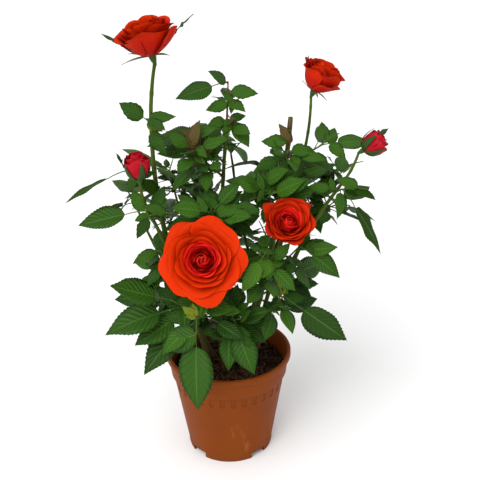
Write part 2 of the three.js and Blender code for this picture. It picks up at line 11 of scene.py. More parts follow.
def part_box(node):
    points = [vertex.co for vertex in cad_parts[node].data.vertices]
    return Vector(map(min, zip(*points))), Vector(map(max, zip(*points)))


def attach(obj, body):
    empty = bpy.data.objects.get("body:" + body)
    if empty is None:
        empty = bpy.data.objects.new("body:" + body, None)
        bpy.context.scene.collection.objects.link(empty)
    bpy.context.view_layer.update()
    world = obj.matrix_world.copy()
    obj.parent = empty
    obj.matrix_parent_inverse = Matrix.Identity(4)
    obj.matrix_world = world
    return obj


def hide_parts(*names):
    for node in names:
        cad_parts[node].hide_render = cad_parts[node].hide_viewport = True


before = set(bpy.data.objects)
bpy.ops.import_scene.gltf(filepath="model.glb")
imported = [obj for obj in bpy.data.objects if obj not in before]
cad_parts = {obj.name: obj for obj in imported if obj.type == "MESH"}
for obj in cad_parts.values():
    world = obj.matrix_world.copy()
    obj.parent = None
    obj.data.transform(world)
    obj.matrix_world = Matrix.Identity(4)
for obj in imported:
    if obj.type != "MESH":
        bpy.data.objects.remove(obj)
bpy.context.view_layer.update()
METRE = 1000.0  # millimetres in one
NODES = sorted(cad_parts)

# ------------------------------------------------------------------ sizes, as the solids have them
POT_RADIUS = 65
POT_HEIGHT = 113.8
POT_BASE = 44
POT_WALL = 1.5
STEP_HEIGHT = 88
STEP_RADIUS = 58.3
FOOT_LIFT = 8
PAD_RADIUS = 14
SOIL_TOP = 97
SOIL_EDGE = 92.5
SOIL_CROWN = 35
CANE_FOOT = 97.3
FLARE = 0.45  # how much wider a cane is at the soil
CLEAR = 0.3  # the gap between a limb's tip and what it carries
CROWN_MIDDLE = np.array([2.0, 2.0, 262.0])
CROWN_REACH = np.array([166.0, 124.0, 190.0])
LEAF_SHARE = 0.69  # the end leaflet's part of a leaf with side leaflets
LEAF_SINGLE = 0.88  # and of a leaf without them
LEAF_WIDTH = 0.56  # of a leaflet's length
LEAF_SINK = 0.7  # how deep a leaflet's foot sits in its stalk
PAIRED_FROM = (30, 70)  # the lengths from which a leaf has one pair of side leaflets, and two
PAIRS = ((0.56, 0.63, 66), (0.14, 0.5, 72))  # place on the stalk, size, spread
WOBBLE = {"roll": 14, "spread": 8, "tilt": 16, "size": 0.1}
LIGHT = {"up": 0.7, "aside": 0.63, "outward": 0.4}  # where the blades look
LIGHT_TURNS = {"at": 48, "over": 14}  # leaves further back than this look to the back
TURN = 137.5  # from one leaf or thorn to the next up the stem
HIP_LENGTH = 0.2  # of the petals' length
HIP_WIDTH = 0.07

# seeds of the draws, each the first of a run
SEEDS = {"masses": 1, "blooms": 60, "sprays": 100, "bark": 400, "thorns": 500, "finer": 700,
         "added": 800, "young": 900}

# each cane: its foot, the point it is pulled towards, its tip, and its radius at foot and tip
CANES = {
    "cane_left": ([-16, 6], [-74, 2, 235], [-66, -5, 371], (3.3, 2.0)),
    "cane_left_front": ([-20, -10], [-38, -36, 215], [-69, -45, 287], (2.9, 1.7)),
    "cane_middle": ([-2, 18], [-10, 10, 230], [3, 20, 345], (2.9, 1.7)),
    "cane_pruned": ([16, 14], [54, 12, 230], [64, 15, 358], (3.2, 2.3)),
    "cane_right": ([8, 30], [60, 44, 215], [79, 28, 322], (2.9, 1.6)),
    "cane_far_right": ([24, -2], [62, -16, 235], [112, -5, 297], (2.8, 1.6)),
    "cane_front": ([-4, -14], [-8, -26, 165], [-16, -36, 218], (2.8, 1.9)),
    "cane_right_front": ([14, -17], [38, -20, 165], [54, -20, 245], (2.7, 1.7)),
}
# each bough: the cane and the place on it that it leaves, the point it is pulled towards, its tip
# and its radii
BOUGHS = {
    "bough_back_left": ("cane_middle", 0.3, [-36, 42, 205], [-50, 60, 252], (2.1, 1.3)),
    "bough_back": ("cane_right", 0.3, [16, 62, 200], [8, 78, 286], (2.1, 1.3)),
    "bough_back_right": ("cane_right", 0.52, [74, 60, 225], [96, 64, 262], (2.0, 1.3)),
    "bough_left": ("cane_left", 0.36, [-72, 34, 205], [-88, 50, 242], (2.0, 1.3)),
}
# each shoot: its limb and place, its stem's heading, rise and length, its leaves' place on the
# stem, heading, rise, length and roll
SHOOTS = {
    "foliage_upper_left": ("cane_left", 0.97, (-110, 25, 12),
        [(0.9, -168, 36, 30), (1, 20, 0, 30), (0.8, -39, -13, 24), (0.6, -45, -56, 38),
         (0.5, 2, -12, 46), (0.7, 80, 10, 40)]),
    "foliage_left_arm": ("cane_left", 0.78, (-142, 18, 30),
        [(1, -166, -18, 68, 60), (0.5, -120, -30, 26), (0.6, 8, -59, 36)]),
    "foliage_left": ("cane_left_front", 0.9, (-133, 59, 24),
        [(1, -173, -7, 64), (0.5, 136, 37, 36), (0.6, -134, -39, 24), (0.4, 70, 45, 38)]),
    "foliage_lower_left": ("cane_front", 0.45, (-140, 41, 77),
        [(0.9, -159, 26, 68), (0.7, -162, -6, 82), (0.45, -142, -30, 80), (0.3, 160, 20, 48),
         (0.6, -150, -20, 64), (0.8, 178, 42, 30)]),
    "foliage_front": ("cane_front", 0.55, (-109, 27, 61),
        [(1, -99, -73, 92), (0.5, -33, -17, 44), (0.85, -160, -38, 52), (0.6, 175, 0, 44)]),
    "foliage_left_middle": ("cane_left_front", 0.55, (-147, 60, 42),
        [(1, -150, -9, 30), (0.6, -130, -23, 34), (0.8, 100, 10, 46), (1, 137, 54, 50)]),
    "foliage_centre_top": ("cane_middle", 1, (65, 83, 46),
        [(1, -163, -10, 54), (0.8, -8, -4, 30), (0.6, -42, -17, 24), (0.2, -137, -2, 26),
         (0.3, -44, -39, 40), (0.1, -53, 0, 36), (0.5, 90, 10, 40), (0.95, -152, 39, 26)]),
    "foliage_centre_left": ("cane_middle", 0.8, (-136, 44, 56),
        [(1, -4, 16, 38), (1, -167, 42, 30), (0.8, -120, -10, 36), (0.6, -135, -24, 46),
         (0.4, -96, -14, 40), (0.5, 60, 50, 44), (1, 7, 74, 30)]),
    "foliage_centre": ("cane_middle", 0.55, (-97, 40, 72),
        [(1, -158, 20, 42), (0.8, -41, 17, 48), (0.6, -150, 5, 54), (0.4, 30, 0, 50),
         (0.95, -80, -20, 42), (1, 19, 47, 40), (0.8, 9, 43, 36), (1, 0, 12, 30)]),
    "foliage_centre_right": ("cane_pruned", 0.8, (-72, 66, 34),
        [(1, 164, 1, 30), (0.6, -10, -9, 38), (0.4, -151, -3, 36), (0.5, -80, -5, 36),
         (0.6, 120, 20, 44)]),
    "foliage_right_heart": ("cane_pruned", 0.6, (-108, 50, 54),
        [(1, -151, 30, 40), (0.8, -100, -8, 42), (0.6, -30, 24, 50), (0.4, -160, 0, 46),
         (0.3, 40, 0, 48)]),
    "foliage_right_top": ("cane_right", 0.97, (-28, 33, 23),
        [(1, 0, 7, 50), (0.6, -136, -5, 30), (0.3, -54, -20, 30), (0.5, 70, 12, 50)]),
    "foliage_right_node": ("cane_far_right", 0.94, (-60, 34, 12),
        [(1, -6, -55, 80, -14), (0.8, -95, -52, 30), (0.9, 12, -12, 26), (0.6, -179, 11, 32),
         (0.4, 80, 5, 44)]),
    "foliage_right": ("cane_right_front", 0.8, (-33, 50, 43),
        [(1, -21, -30, 50), (0.8, -12, 9, 42), (0.6, -84, 4, 28), (0.5, -33, -44, 38)]),
    "foliage_lower_right": ("cane_right_front", 0.45, (-44, 49, 46),
        [(1, -9, -36, 78, 40), (0.8, -70, -26, 40), (0.6, -106, -20, 46), (0.4, 20, 0, 52)]),
    "foliage_between_blooms": ("cane_right_front", 0.65, (-95, 64, 65),
        [(1, -142, -47, 48), (0.9, -127, 34, 30), (0.7, -40, -30, 40), (0.5, 160, -10, 46),
         (0.35, -80, 0, 40), (0.6, -13, 49, 34)]),
    "foliage_front_right": ("cane_front", 0.3, (-69, 52, 58),
        [(1, -59, -55, 62), (0.8, -35, 30, 50), (0.8, -97, -46, 50), (0.9, -48, -34, 34),
         (0.5, -120, 20, 46), (0.4, 10, 10, 50), (0.9, -47, 48, 34)]),
}
# where on each limb a mass grows by the rule alone
SPRAYS = {
    "bough_back_left": (1, 0.66, 0.34), "bough_back": (1, 0.66, 0.34), "bough_back_right": (1, 0.6),
    "bough_left": (1, 0.55), "cane_right": (0.75, 0.24), "cane_middle": (0.86, 0.3),
    "cane_left": (0.24,),
}
SPRAY = {"length": 40, "rise": (20, 48), "aside": 70, "leaves": 5, "leaf": (46, 66),
         "leaf_rise": (-18, 30)}
# each bloom: its cane, the seat of its petals, the way it faces, how far it is open, its petals'
# length and width, its sepals' length, and the long sepals' turn, length and lean
BLOOMS = {
    "bloom_front": ("cane_front", [-21, -56, 243], (-88, 28), 1.0, 42, 44, 24, []),
    "bloom_right": ("cane_right_front", [59, -27, 264], (-86, 37), 0.52, 30, 30, 22, []),
    "bloom_top_left": ("cane_left", [-62, -5, 424], (-160, 74), 0.42, 38, 42, 24,
        [(5, 50, 72), (178, 46, 50)]),
    "bloom_top_right": ("cane_right", [86, 20, 382], (-15, 66), 0.24, 32, 30, 20, [(170, 33, 20)]),
    "bud_left": ("cane_left_front", [-76, -47, 322], (180, 84), 0.02, 25, 22, 24, [(170, 30, 20)]),
    "bud_right": ("cane_far_right", [132, 0, 329], (0, 32), 0.04, 24, 20, 24, [(90, 34, 10)]),
}


# ------------------------------------------------------------------ directions and curves
def mix(low, high, share):
    return low + (high - low) * share


def smooth(x):
    x = np.clip(x, 0, 1)
    return x * x * (3 - 2 * x)


def unit(v):
    return v / np.linalg.norm(v, axis=-1, keepdims=True)


def headed(heading, rise):
    heading, rise = math.radians(heading), math.radians(rise)
    flat = math.cos(rise)
    return np.array([math.cos(heading) * flat, math.sin(heading) * flat, math.sin(rise)])


def turned(v, axis, degrees):
    return np.array(Quaternion(Vector(axis), math.radians(degrees)) @ Vector(v))


def seeded_draws(seed):
    state = (seed * 2654435761) % 4294967296
    state = (state * 1664525 + 1013904223) % 4294967296

    def draw(low, high):
        nonlocal state
        state = (state * 1664525 + 1013904223) % 4294967296
        return low + (high - low) * state / 4294967296

    return draw


class Curve:
    """A bend from one point to another, pulled towards a third."""

    def __init__(self, start, bend, end):
        self.start = np.array(start, float)
        self.bend = np.array(bend, float)
        self.end = np.array(end, float)

    def point(self, t):
        t = np.asarray(t, float)[..., None]
        return (1 - t) ** 2 * self.start + 2 * t * (1 - t) * self.bend + t * t * self.end

    def ahead(self, t):
        t = np.asarray(t, float)[..., None]
        return unit((1 - t) * (self.bend - self.start) + t * (self.end - self.bend))

    def across(self):
        side = np.cross(self.bend - self.start, self.end - self.bend)
        if np.linalg.norm(side) < 1e-6:
            side = np.cross(self.end - self.start, [0.3, 0.9, 0.2])
        return unit(side)


# ------------------------------------------------------------------ shapes made once, used often
class Shape:
    """A small mesh as arrays: corners, their place on the surface, faces and the faces' regions."""

    def __init__(self, mesh):
        place = mesh.verts.layers.float_vector.get("place")
        mesh.verts.index_update()
        self.corners = np.array([v.co for v in mesh.verts])
        self.place = np.array([v[place] if place else v.co for v in mesh.verts])[:, :2]
        self.sizes = np.array([len(f.verts) for f in mesh.faces])
        self.loops = np.array([v.index for f in mesh.faces for v in f.verts])
        self.regions = np.array([f.material_index for f in mesh.faces])
        mesh.free()


def rod_shape(sides, rings):
    mesh = bmesh.new()
    bmesh.ops.create_cone(mesh, cap_ends=True, segments=sides, radius1=1, radius2=1, depth=1)
    bmesh.ops.translate(mesh, vec=(0, 0, 0.5), verts=mesh.verts)
    rising = [e for e in mesh.edges if abs(e.verts[0].co.z - e.verts[1].co.z) > 0.5]
    if rings > 1:
        bmesh.ops.subdivide_edges(mesh, edges=rising, cuts=rings - 1, use_grid_fill=True)
    return Shape(mesh)


def blade_shape(rows, crosses, outline):
    """A thin closed blade: x runs 0 to 1 along it, y -1 to 1 across it, z is half its thickness."""
    mesh = bmesh.new()
    bmesh.ops.create_grid(mesh, x_segments=rows, y_segments=len(crosses) - 1, size=0.5)
    place = mesh.verts.layers.float_vector.new("place")
    for v in mesh.verts:
        along = v.co.x + 0.5
        cross = crosses[round((v.co.y + 0.5) * (len(crosses) - 1))]
        row = round(along * rows)
        v[place] = (along, cross, 0)
        x, y = outline(along, cross, row)
        v.co = (x, y, 1 - abs(cross))
    rib = [f for f in mesh.faces if all(abs(v[place].y) < 0.06 for v in f.verts)]
    copy = bmesh.ops.duplicate(mesh, geom=mesh.verts[:] + mesh.edges[:] + mesh.faces[:])
    under = [g for g in copy["geom"] if isinstance(g, bmesh.types.BMFace)]
    for v in {v for f in under for v in f.verts}:
        v.co.z = -v.co.z
    for f in rib:
        f.material_index = 2
    for f in under:
        f.material_index = 1
    bmesh.ops.reverse_faces(mesh, faces=under)
    bmesh.ops.remove_doubles(mesh, verts=mesh.verts, dist=1e-5)
    return Shape(mesh)


class Heap:
    """Many small things joined into one piece."""

    def __init__(self, name, slot, finishes, nodes):
        self.name = name
        self.slot = slot
        self.finishes = finishes
        self.nodes = nodes
        self.corners = []
        self.places = []
        self.loops = []
        self.sizes = []
        self.materials = []
        self.count = 0

    def add(self, shape, corners, *finishes):
        """shape with its corners put where corners says. finishes: one for each of its regions."""
        order = [self.finishes.index(f) for f in finishes]
        while len(order) < 3:
            order.append(order[0])
        self.corners.append(corners)
        self.places.append(shape.place[shape.loops])
        self.loops.append(shape.loops + self.count)
        self.sizes.append(shape.sizes)
        self.materials.append(np.array(order)[shape.regions])
        self.count += len(corners)

    def build(self):
        mesh = bpy.data.meshes.new(self.name)
        corners = np.concatenate(self.corners) / METRE
        loops = np.concatenate(self.loops)
        sizes = np.concatenate(self.sizes)
        mesh.vertices.add(len(corners))
        mesh.vertices.foreach_set("co", corners.ravel())
        mesh.loops.add(len(loops))
        mesh.loops.foreach_set("vertex_index", loops)
        mesh.polygons.add(len(sizes))
        mesh.polygons.foreach_set("loop_start", np.concatenate([[0], np.cumsum(sizes)[:-1]]))
        mesh.polygons.foreach_set("material_index", np.concatenate(self.materials))
        mesh.update(calc_edges=True)
        uv = mesh.uv_layers.new(name="surface")
        uv.data.foreach_set("uv", np.concatenate(self.places).ravel())
        mesh.shade_smooth()
        for finish in self.finishes:
            mesh.materials.append(FINISHES[finish])
        return dressed(bpy.data.objects.new(self.name, mesh), self.slot, self.nodes)


def dressed(piece, slot, nodes):
    if piece.name not in bpy.context.scene.collection.objects:
        bpy.context.scene.collection.objects.link(piece)
    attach(piece, "root")
    if nodes:
        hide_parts(*nodes)
    return piece


# ------------------------------------------------------------------ finishes
class Value:
    """A node's output that takes part in sums. Each sum adds its Math node."""

    def __init__(self, recipe, socket):
        self.recipe = recipe
        self.socket = socket

    def math(self, operation, *others, flipped=False):
        terms = [self, *others]
        if flipped:
            terms.reverse()
        return self.recipe.node("ShaderNodeMath", {"operation": operation}, dict(enumerate(terms)))

    def __add__(self, other):
        return self.math("ADD", other)

    def __radd__(self, other):
        return self.math("ADD", other)

    def __sub__(self, other):
        return self.math("SUBTRACT", other)

    def __rsub__(self, other):
        return self.math("SUBTRACT", other, flipped=True)

    def __mul__(self, other):
        return self.math("MULTIPLY", other)

    def __rmul__(self, other):
        return self.math("MULTIPLY", other)

    def __truediv__(self, other):
        return self.math("DIVIDE", other)

    def __pow__(self, other):
        return self.math("POWER", other)

    def __abs__(self):
        return self.math("ABSOLUTE")


class Recipe:
    """One material in the making."""

    def __init__(self, name):
        self.material = bpy.data.materials.new(name)
        self.material.use_nodes = True
        self.tree = self.material.node_tree
        self.tree.nodes.clear()

    def node(self, kind, settings, values, output=0):
        made = self.tree.nodes.new(kind)
        for key, setting in settings.items():
            if key == "stops":
                self.set_stops(made.color_ramp, setting)
            else:
                setattr(made, key, setting)
        for key, value in values.items():
            if isinstance(value, Value):
                self.tree.links.new(value.socket, made.inputs[key])
            else:
                made.inputs[key].default_value = value
        return Value(self, made.outputs[output])

    def set_stops(self, ramp, stops):
        while len(ramp.elements) < len(stops):
            ramp.elements.new(1)
        for element, (place, shade) in zip(ramp.elements, stops):
            element.position = place
            element.color = (shade, shade, shade, 1)

    def place(self):
        return self.node("ShaderNodeTexCoord", {}, {}, "Object")

    def surface(self):
        """Along and across the piece's own surface."""
        where = self.node("ShaderNodeUVMap", {"uv_map": "surface"}, {})
        parts = self.node("ShaderNodeSeparateXYZ", {}, {0: where})
        return parts, Value(self, parts.socket.node.outputs[1])

    def height(self):
        parts = self.node("ShaderNodeSeparateXYZ", {}, {0: self.place()})
        return Value(self, parts.socket.node.outputs[2])

    def grain(self, scale, detail=3.0, stretch=(1, 1, 1)):
        where = self.node("ShaderNodeMapping", {}, {"Vector": self.place(), "Scale": stretch})
        return self.node("ShaderNodeTexNoise", {}, {"Vector": where, "Scale": scale, "Detail": detail})

    def ramp(self, value, *stops):
        return self.node("ShaderNodeValToRGB", {"stops": stops}, {0: value})

    def blend(self, share, low, high):
        settings = {"data_type": "RGBA"}
        values = {0: share, 6: low, 7: high}
        return self.node("ShaderNodeMix", settings, values, 2)

    def bump(self, height, distance, strength=1.0):
        values = {"Height": height, "Distance": distance, "Strength": strength}
        return self.node("ShaderNodeBump", {}, values)

    def finish(self, color, roughness, **others):
        values = {"Base Color": color, "Roughness": roughness, "Specular IOR Level": 0.13}
        values.update({key.replace("_", " "): value for key, value in others.items()})
        shader = self.node("ShaderNodeBsdfPrincipled", {}, values)
        out = self.tree.nodes.new("ShaderNodeOutputMaterial")
        self.tree.links.new(shader.socket, out.inputs[0])
        return self.material


def rgb(red, green, blue):
    return (red, green, blue, 1)


def terracotta_plastic():
    recipe = Recipe("terracotta_plastic")
    cloud = recipe.ramp(recipe.grain(22, 4), (0.3, 0), (0.75, 1))
    colour = recipe.blend(cloud, rgb(0.175, 0.036, 0.003), rgb(0.215, 0.046, 0.004))
    scuffs = recipe.ramp(recipe.grain(60, 6, (1, 1, 0.25)), (0.66, 0), (0.72, 1))
    colour = recipe.blend(scuffs * 0.3, colour, rgb(0.36, 0.15, 0.06))
    low = recipe.ramp(recipe.height() * METRE / POT_HEIGHT, (0.0, 1), (0.16, 0))
    colour = recipe.blend(low * 0.35, colour, rgb(0.13, 0.045, 0.016))
    fine = recipe.grain(420, 2)
    rough = cloud * 0.12 + 0.45
    others = {"Specular IOR Level": 0.07}
    return recipe.finish(colour, rough, Normal=recipe.bump(fine, 0.0004, 0.25), **others)


def potting_soil():
    recipe = Recipe("potting_soil")
    clods = recipe.grain(180, 6)
    shade = recipe.ramp(clods, (0.3, 0), (0.7, 1))
    colour = recipe.blend(shade, rgb(0.012, 0.006, 0.004), rgb(0.07, 0.035, 0.02))
    return recipe.finish(colour, 0.95, Normal=recipe.bump(clods, 0.004))


def green_bark(name, low, high, foot, roughness):
    """Green skin with pale streaks along the cane, brown and woody towards the soil."""
    recipe = Recipe(name)
    streak = recipe.ramp(recipe.grain(140, 4, (1, 1, 0.12)), (0.35, 0), (0.65, 1))
    colour = recipe.blend(streak, low, high)
    woody = recipe.ramp(recipe.height() * METRE / 400, (0.26, 1), (0.46, 0))
    colour = recipe.blend(woody, colour, foot)
    pores = recipe.grain(700, 2, (1, 1, 0.5))
    bump = recipe.bump(streak * 0.6 + pores * 0.4, 0.0006, 0.6)
    others = {"Specular IOR Level": 0.05}
    return recipe.finish(colour, roughness, Normal=bump, **others)


def plain(name, colour, roughness, grain=0.0, **others):
    recipe = Recipe(name)
    if grain:
        others["Normal"] = recipe.bump(recipe.grain(900, 3), grain, 0.5)
    return recipe.finish(colour, roughness, **others)


def leaf_face(name, colour, roughness=0.42, shine=0.13):
    """A plain green whose side veins run forward from the midrib, with the blade full between them."""
    recipe = Recipe(name)
    along, across = recipe.surface()
    aside = abs(across)
    veins = (along * 9.0 - aside * 2.6) * math.pi
    quilted = abs(veins.math("SINE")) ** 0.8
    height = quilted * (1 - aside ** 5) * recipe.ramp(aside, (0.0, 0), (0.2, 1))
    fine = recipe.grain(1500, 2)
    normal = recipe.bump(height + fine * 0.1, 0.0015, 0.6)
    others = {"Specular IOR Level": shine}
    return recipe.finish(colour, roughness, Normal=normal, **others)


def petal_face(name, foot, middle, rim, roughness, **others):
    """Colour from the petal's foot to its rim, with faint veins that fan out along it."""
    recipe = Recipe(name)
    along, across = recipe.surface()
    colour = recipe.blend(recipe.ramp(along, (0.12, 0), (0.5, 1)), foot, middle)
    colour = recipe.blend(recipe.ramp(along, (0.62, 0), (1.0, 1)), colour, rim)
    veins = (across * 22.0).math("SINE") * 0.5 + 0.5
    fine = recipe.grain(260, 3)
    normal = recipe.bump(veins * 0.4 + fine, 0.0009, 0.35)
    others["Specular IOR Level"] = 0.035
    return recipe.finish(colour, roughness, Normal=normal, **others)


GREENS = {
    # leaf_dark is painted shade, for the leaves low in the crown and inside it
    "leaf_dark": rgb(0.017, 0.053, 0.004),
    "leaf_deep": rgb(0.024, 0.077, 0.005),
    "leaf_green": rgb(0.034, 0.103, 0.006),
    "leaf_fresh": rgb(0.055, 0.150, 0.009),
    "leaf_young": rgb(0.175, 0.230, 0.018),
    "leaf_bronze": rgb(0.095, 0.066, 0.016),
}
FINISHES = {
    "pot": terracotta_plastic(),
    "soil": potting_soil(),
    "bark_bit": plain("bark_bit", rgb(0.070, 0.030, 0.014), 0.9, 0.0005),
    "peat_fibre": plain("peat_fibre", rgb(0.022, 0.011, 0.007), 0.95),
    "straw_bit": plain("straw_bit", rgb(0.16, 0.09, 0.045), 0.85),
    "cane_skin": green_bark("cane_skin", rgb(0.038, 0.068, 0.006), rgb(0.066, 0.100, 0.011),
                            rgb(0.075, 0.050, 0.020), 0.5),
    "dry_cane": green_bark("dry_cane", rgb(0.045, 0.085, 0.010), rgb(0.080, 0.125, 0.020),
                           rgb(0.090, 0.060, 0.025), 0.6),
    "dead_wood": plain("dead_wood", rgb(0.085, 0.045, 0.025), 0.85, 0.0006),
    "thorn": plain("thorn", rgb(0.17, 0.07, 0.03), 0.5),
    "twig_green": plain("twig_green", rgb(0.055, 0.105, 0.015), 0.5, 0.0002),
    "twig_red": plain("twig_red", rgb(0.095, 0.035, 0.014), 0.5, 0.0002),
    "hip": plain("hip", rgb(0.030, 0.075, 0.008), 0.45),
    "sepal": plain("sepal", rgb(0.026, 0.062, 0.012), 0.55, 0.0003),
    "sepal_inside": plain("sepal_inside", rgb(0.15, 0.21, 0.08), 0.7),
    "leaf_under": plain("leaf_under", rgb(0.070, 0.130, 0.035), 0.6, 0.0003),
    "leaf_rib": plain("leaf_rib", rgb(0.055, 0.135, 0.014), 0.45),
    "petal": petal_face("petal", rgb(0.60, 0.09, 0.003), rgb(0.54, 0.017, 0.001),
                        rgb(0.58, 0.028, 0.001), 0.6),
    "deep_petal": petal_face("deep_petal", rgb(0.50, 0.06, 0.003), rgb(0.44, 0.012, 0.002),
                             rgb(0.52, 0.022, 0.003), 0.6),
    "petal_back": petal_face("petal_back", rgb(0.26, 0.016, 0.008), rgb(0.42, 0.011, 0.004),
                             rgb(0.54, 0.022, 0.003), 0.6),
    "heart": petal_face("heart", rgb(0.55, 0.004, 0.004), rgb(0.78, 0.010, 0.007),
                        rgb(0.92, 0.032, 0.022), 0.5),
    "heart_back": petal_face("heart_back", rgb(0.65, 0.008, 0.007), rgb(0.80, 0.014, 0.009),
                             rgb(0.90, 0.045, 0.028), 0.55),
    "bud_petal": petal_face("bud_petal", rgb(0.34, 0.03, 0.012), rgb(0.34, 0.006, 0.014),
                            rgb(0.42, 0.010, 0.018), 0.5),
}
FINISHES.update({name: leaf_face(name, colour) for name, colour in GREENS.items()})
FINISHES["leaf_matt"] = leaf_face("leaf_matt", rgb(0.020, 0.058, 0.004), 0.7, 0.02)


# ------------------------------------------------------------------ limbs
ROD_LIMB = rod_shape(18, 72)
ROD_STEM = rod_shape(8, 8)
ROD_STALK = rod_shape(6, 4)
ROD_BIT = rod_shape(5, 2)
THORN = rod_shape(6, 4)
BENT = 1.03  # a limb's length over the straight line from its foot to its tip
limbs = {}  # name: its curve, and its radius at a place along it


def rod_points(shape, curve, radius_at):
    """The corners of a rod along the curve. radius_at takes the place along it and the turn round it."""
    t = shape.corners[:, 2]
    ahead = curve.ahead(t)
    across = np.broadcast_to(curve.across(), ahead.shape)
    over = np.cross(across, ahead)
    radius = radius_at(t, np.arctan2(shape.corners[:, 1], shape.corners[:, 0]))[:, None]
    level = np.hypot(shape.corners[:, 0], shape.corners[:, 1])[:, None]
    around = unit(across * shape.corners[:, :1] + over * shape.corners[:, 1:2] + 1e-12)
    return curve.point(t) + around * radius * level


def tapering(foot, tip):
    return lambda t, turn: mix(foot, tip, t)


# how far apart a limb's joints and thorns are, and how large
JOINTS = {"first": 18, "apart": 27, "stray": 5, "swell": 0.16, "long": 2.6}
THORNS = {"first": 20, "bare_tip": 25, "apart": 17, "stray": 5, "size": (2.0, 3.6), "radius": 0.95}


def barked(radius_at, length, seed):
    """The limb's taper with its joints swollen and ridges and dents along it."""
    draw = seeded_draws(seed)
    stray = JOINTS["stray"]
    spots = np.arange(JOINTS["first"], length, JOINTS["apart"])
    joints = [(at + draw(-stray, stray)) / length for at in spots]
    phase = draw(0, 6)

    def relief(t, turn):
        swell = sum(np.exp(-((t - at) * length / JOINTS["long"]) ** 2) for at in joints)
        ridges = 0.035 * np.sin(turn * 5 + phase + t * length * 0.03)
        dents = 0.03 * np.sin(t * length * 0.21 + phase + 2 * np.cos(turn))
        return radius_at(t) * (0.94 + JOINTS["swell"] * swell + ridges + dents)

    return relief


def limb_radius(foot, tip, flare):
    return lambda t: mix(foot, tip, t) * (1 + flare * np.exp(-t * 22))


def add_limb(name, curve, foot, tip, flare):
    limbs[name] = (curve, limb_radius(foot, tip, flare))


for name, (foot, bend, tip, radius) in CANES.items():
    add_limb(name, Curve([*foot, CANE_FOOT], bend, tip), *radius, FLARE)
for name, (parent, at, bend, tip, radius) in BOUGHS.items():
    add_limb(name, Curve(limbs[parent][0].point(at), bend, tip), *radius, 0)


def stalk_curve(cane, start, end):
    ahead = cane.ahead(1)
    reach = np.linalg.norm(end - start)
    return Curve(start, start + ahead * reach * 0.5, end)


for name, (cane, seat, facing, opened, petal, *rest) in BLOOMS.items():
    curve, radius_at = limbs[cane]
    end = np.array(seat) - headed(*facing) * petal * HIP_LENGTH
    start = curve.point(1) + curve.ahead(1) * CLEAR
    add_limb("stalk_" + name, stalk_curve(curve, start, end), radius_at(1), radius_at(1) * 0.8, 0)


def thorn_radius(t, turn):
    return THORNS["radius"] * (1 - t) ** 1.3 + 0.04


def grow_thorns(heap, curve, radius_at, length, seed):
    """Small hooked thorns up the limb, a golden turn apart."""
    draw = seeded_draws(seed)
    stray = THORNS["stray"]
    spots = np.arange(THORNS["first"], length - THORNS["bare_tip"], THORNS["apart"])
    for i, at in enumerate(spots):
        t = (at + draw(-stray, stray)) / length
        ahead = curve.ahead(t)
        out = turned(curve.across(), ahead, i * TURN)
        root = curve.point(t) + out * radius_at(t) * 0.7
        size = draw(*THORNS["size"])
        hook = Curve(root, root + out * size * 0.6, root + out * size - ahead * size * 0.45)
        heap.add(THORN, rod_points(THORN, hook, thorn_radius), "thorn")


def make_limbs():
    """Every cane, bough and stalk, cut flat at the soil. The pruned cane ends in dead wood."""
    heap = Heap("canes_and_boughs", "cane", ["cane_skin", "dry_cane", "dead_wood", "thorn"],
                [n for n in NODES if n.startswith(("cane_", "bough_", "stalk_"))])
    for seed, (name, (curve, radius_at)) in enumerate(limbs.items()):
        length = np.linalg.norm(curve.end - curve.start) * BENT
        points = rod_points(ROD_LIMB, curve, barked(radius_at, length, SEEDS["bark"] + seed))
        points[:, 2] = np.maximum(points[:, 2], CANE_FOOT)
        heap.add(ROD_LIMB, points, "dry_cane" if name == "cane_pruned" else "cane_skin")
        if not name.startswith("stalk_"):
            grow_thorns(heap, curve, radius_at, length, SEEDS["thorns"] + seed)
    curve, radius_at = limbs["cane_pruned"]
    dry_tip = Curve(curve.point(0.955), curve.point(0.98), curve.point(1))
    heap.add(ROD_STALK, rod_points(ROD_STALK, dry_tip, tapering(2.55, 2.3)), "dead_wood")
    heap.build()


# ------------------------------------------------------------------ the rule that leaves follow
def sunward(root, along):
    """Up, to the root's own side, and to the nearer of front and back."""
    outward = root[0] / math.hypot(root[0], root[1])
    back = np.clip((root[1] - LIGHT_TURNS["at"]) / LIGHT_TURNS["over"], -1, 1)
    light = np.array([LIGHT["outward"] * outward, LIGHT["aside"] * back, LIGHT["up"]])
    return unit(light - along * light.dot(along))


Blade = namedtuple("Blade", "root along facing length")
Mass = namedtuple("Mass", "limb at stem leaves")


class Leaf:
    """A stalk with its end leaflet and its pairs of side leaflets."""

    def __init__(self, root, heading, rise, length, roll, draw):
        along = headed(heading, rise)
        facing = turned(sunward(root, along), along, roll + draw(-WOBBLE["roll"], WOBBLE["roll"]))
        pairs = sum(length > least for least in PAIRED_FROM)
        blade = length * (LEAF_SHARE if pairs else LEAF_SINGLE)
        stalk = length - blade
        bend = root + along * stalk / 2 + facing * stalk * 0.1
        self.curve = Curve(root, bend, root + along * stalk)
        self.blades = [Blade(self.curve.end, along, facing, blade)]
        for at, size, spread in PAIRS[:pairs]:
            for side in (-1, 1):
                wobble = draw(-WOBBLE["spread"], WOBBLE["spread"])
                aside = turned(along, facing, side * (spread + wobble))
                tilted = turned(facing, aside, draw(-WOBBLE["tilt"], WOBBLE["tilt"]))
                share = size * draw(1 - WOBBLE["size"], 1 + WOBBLE["size"])
                place = self.curve.point(at - 0.06 * (1 + side))
                self.blades.append(Blade(place, aside, tilted, blade * share))


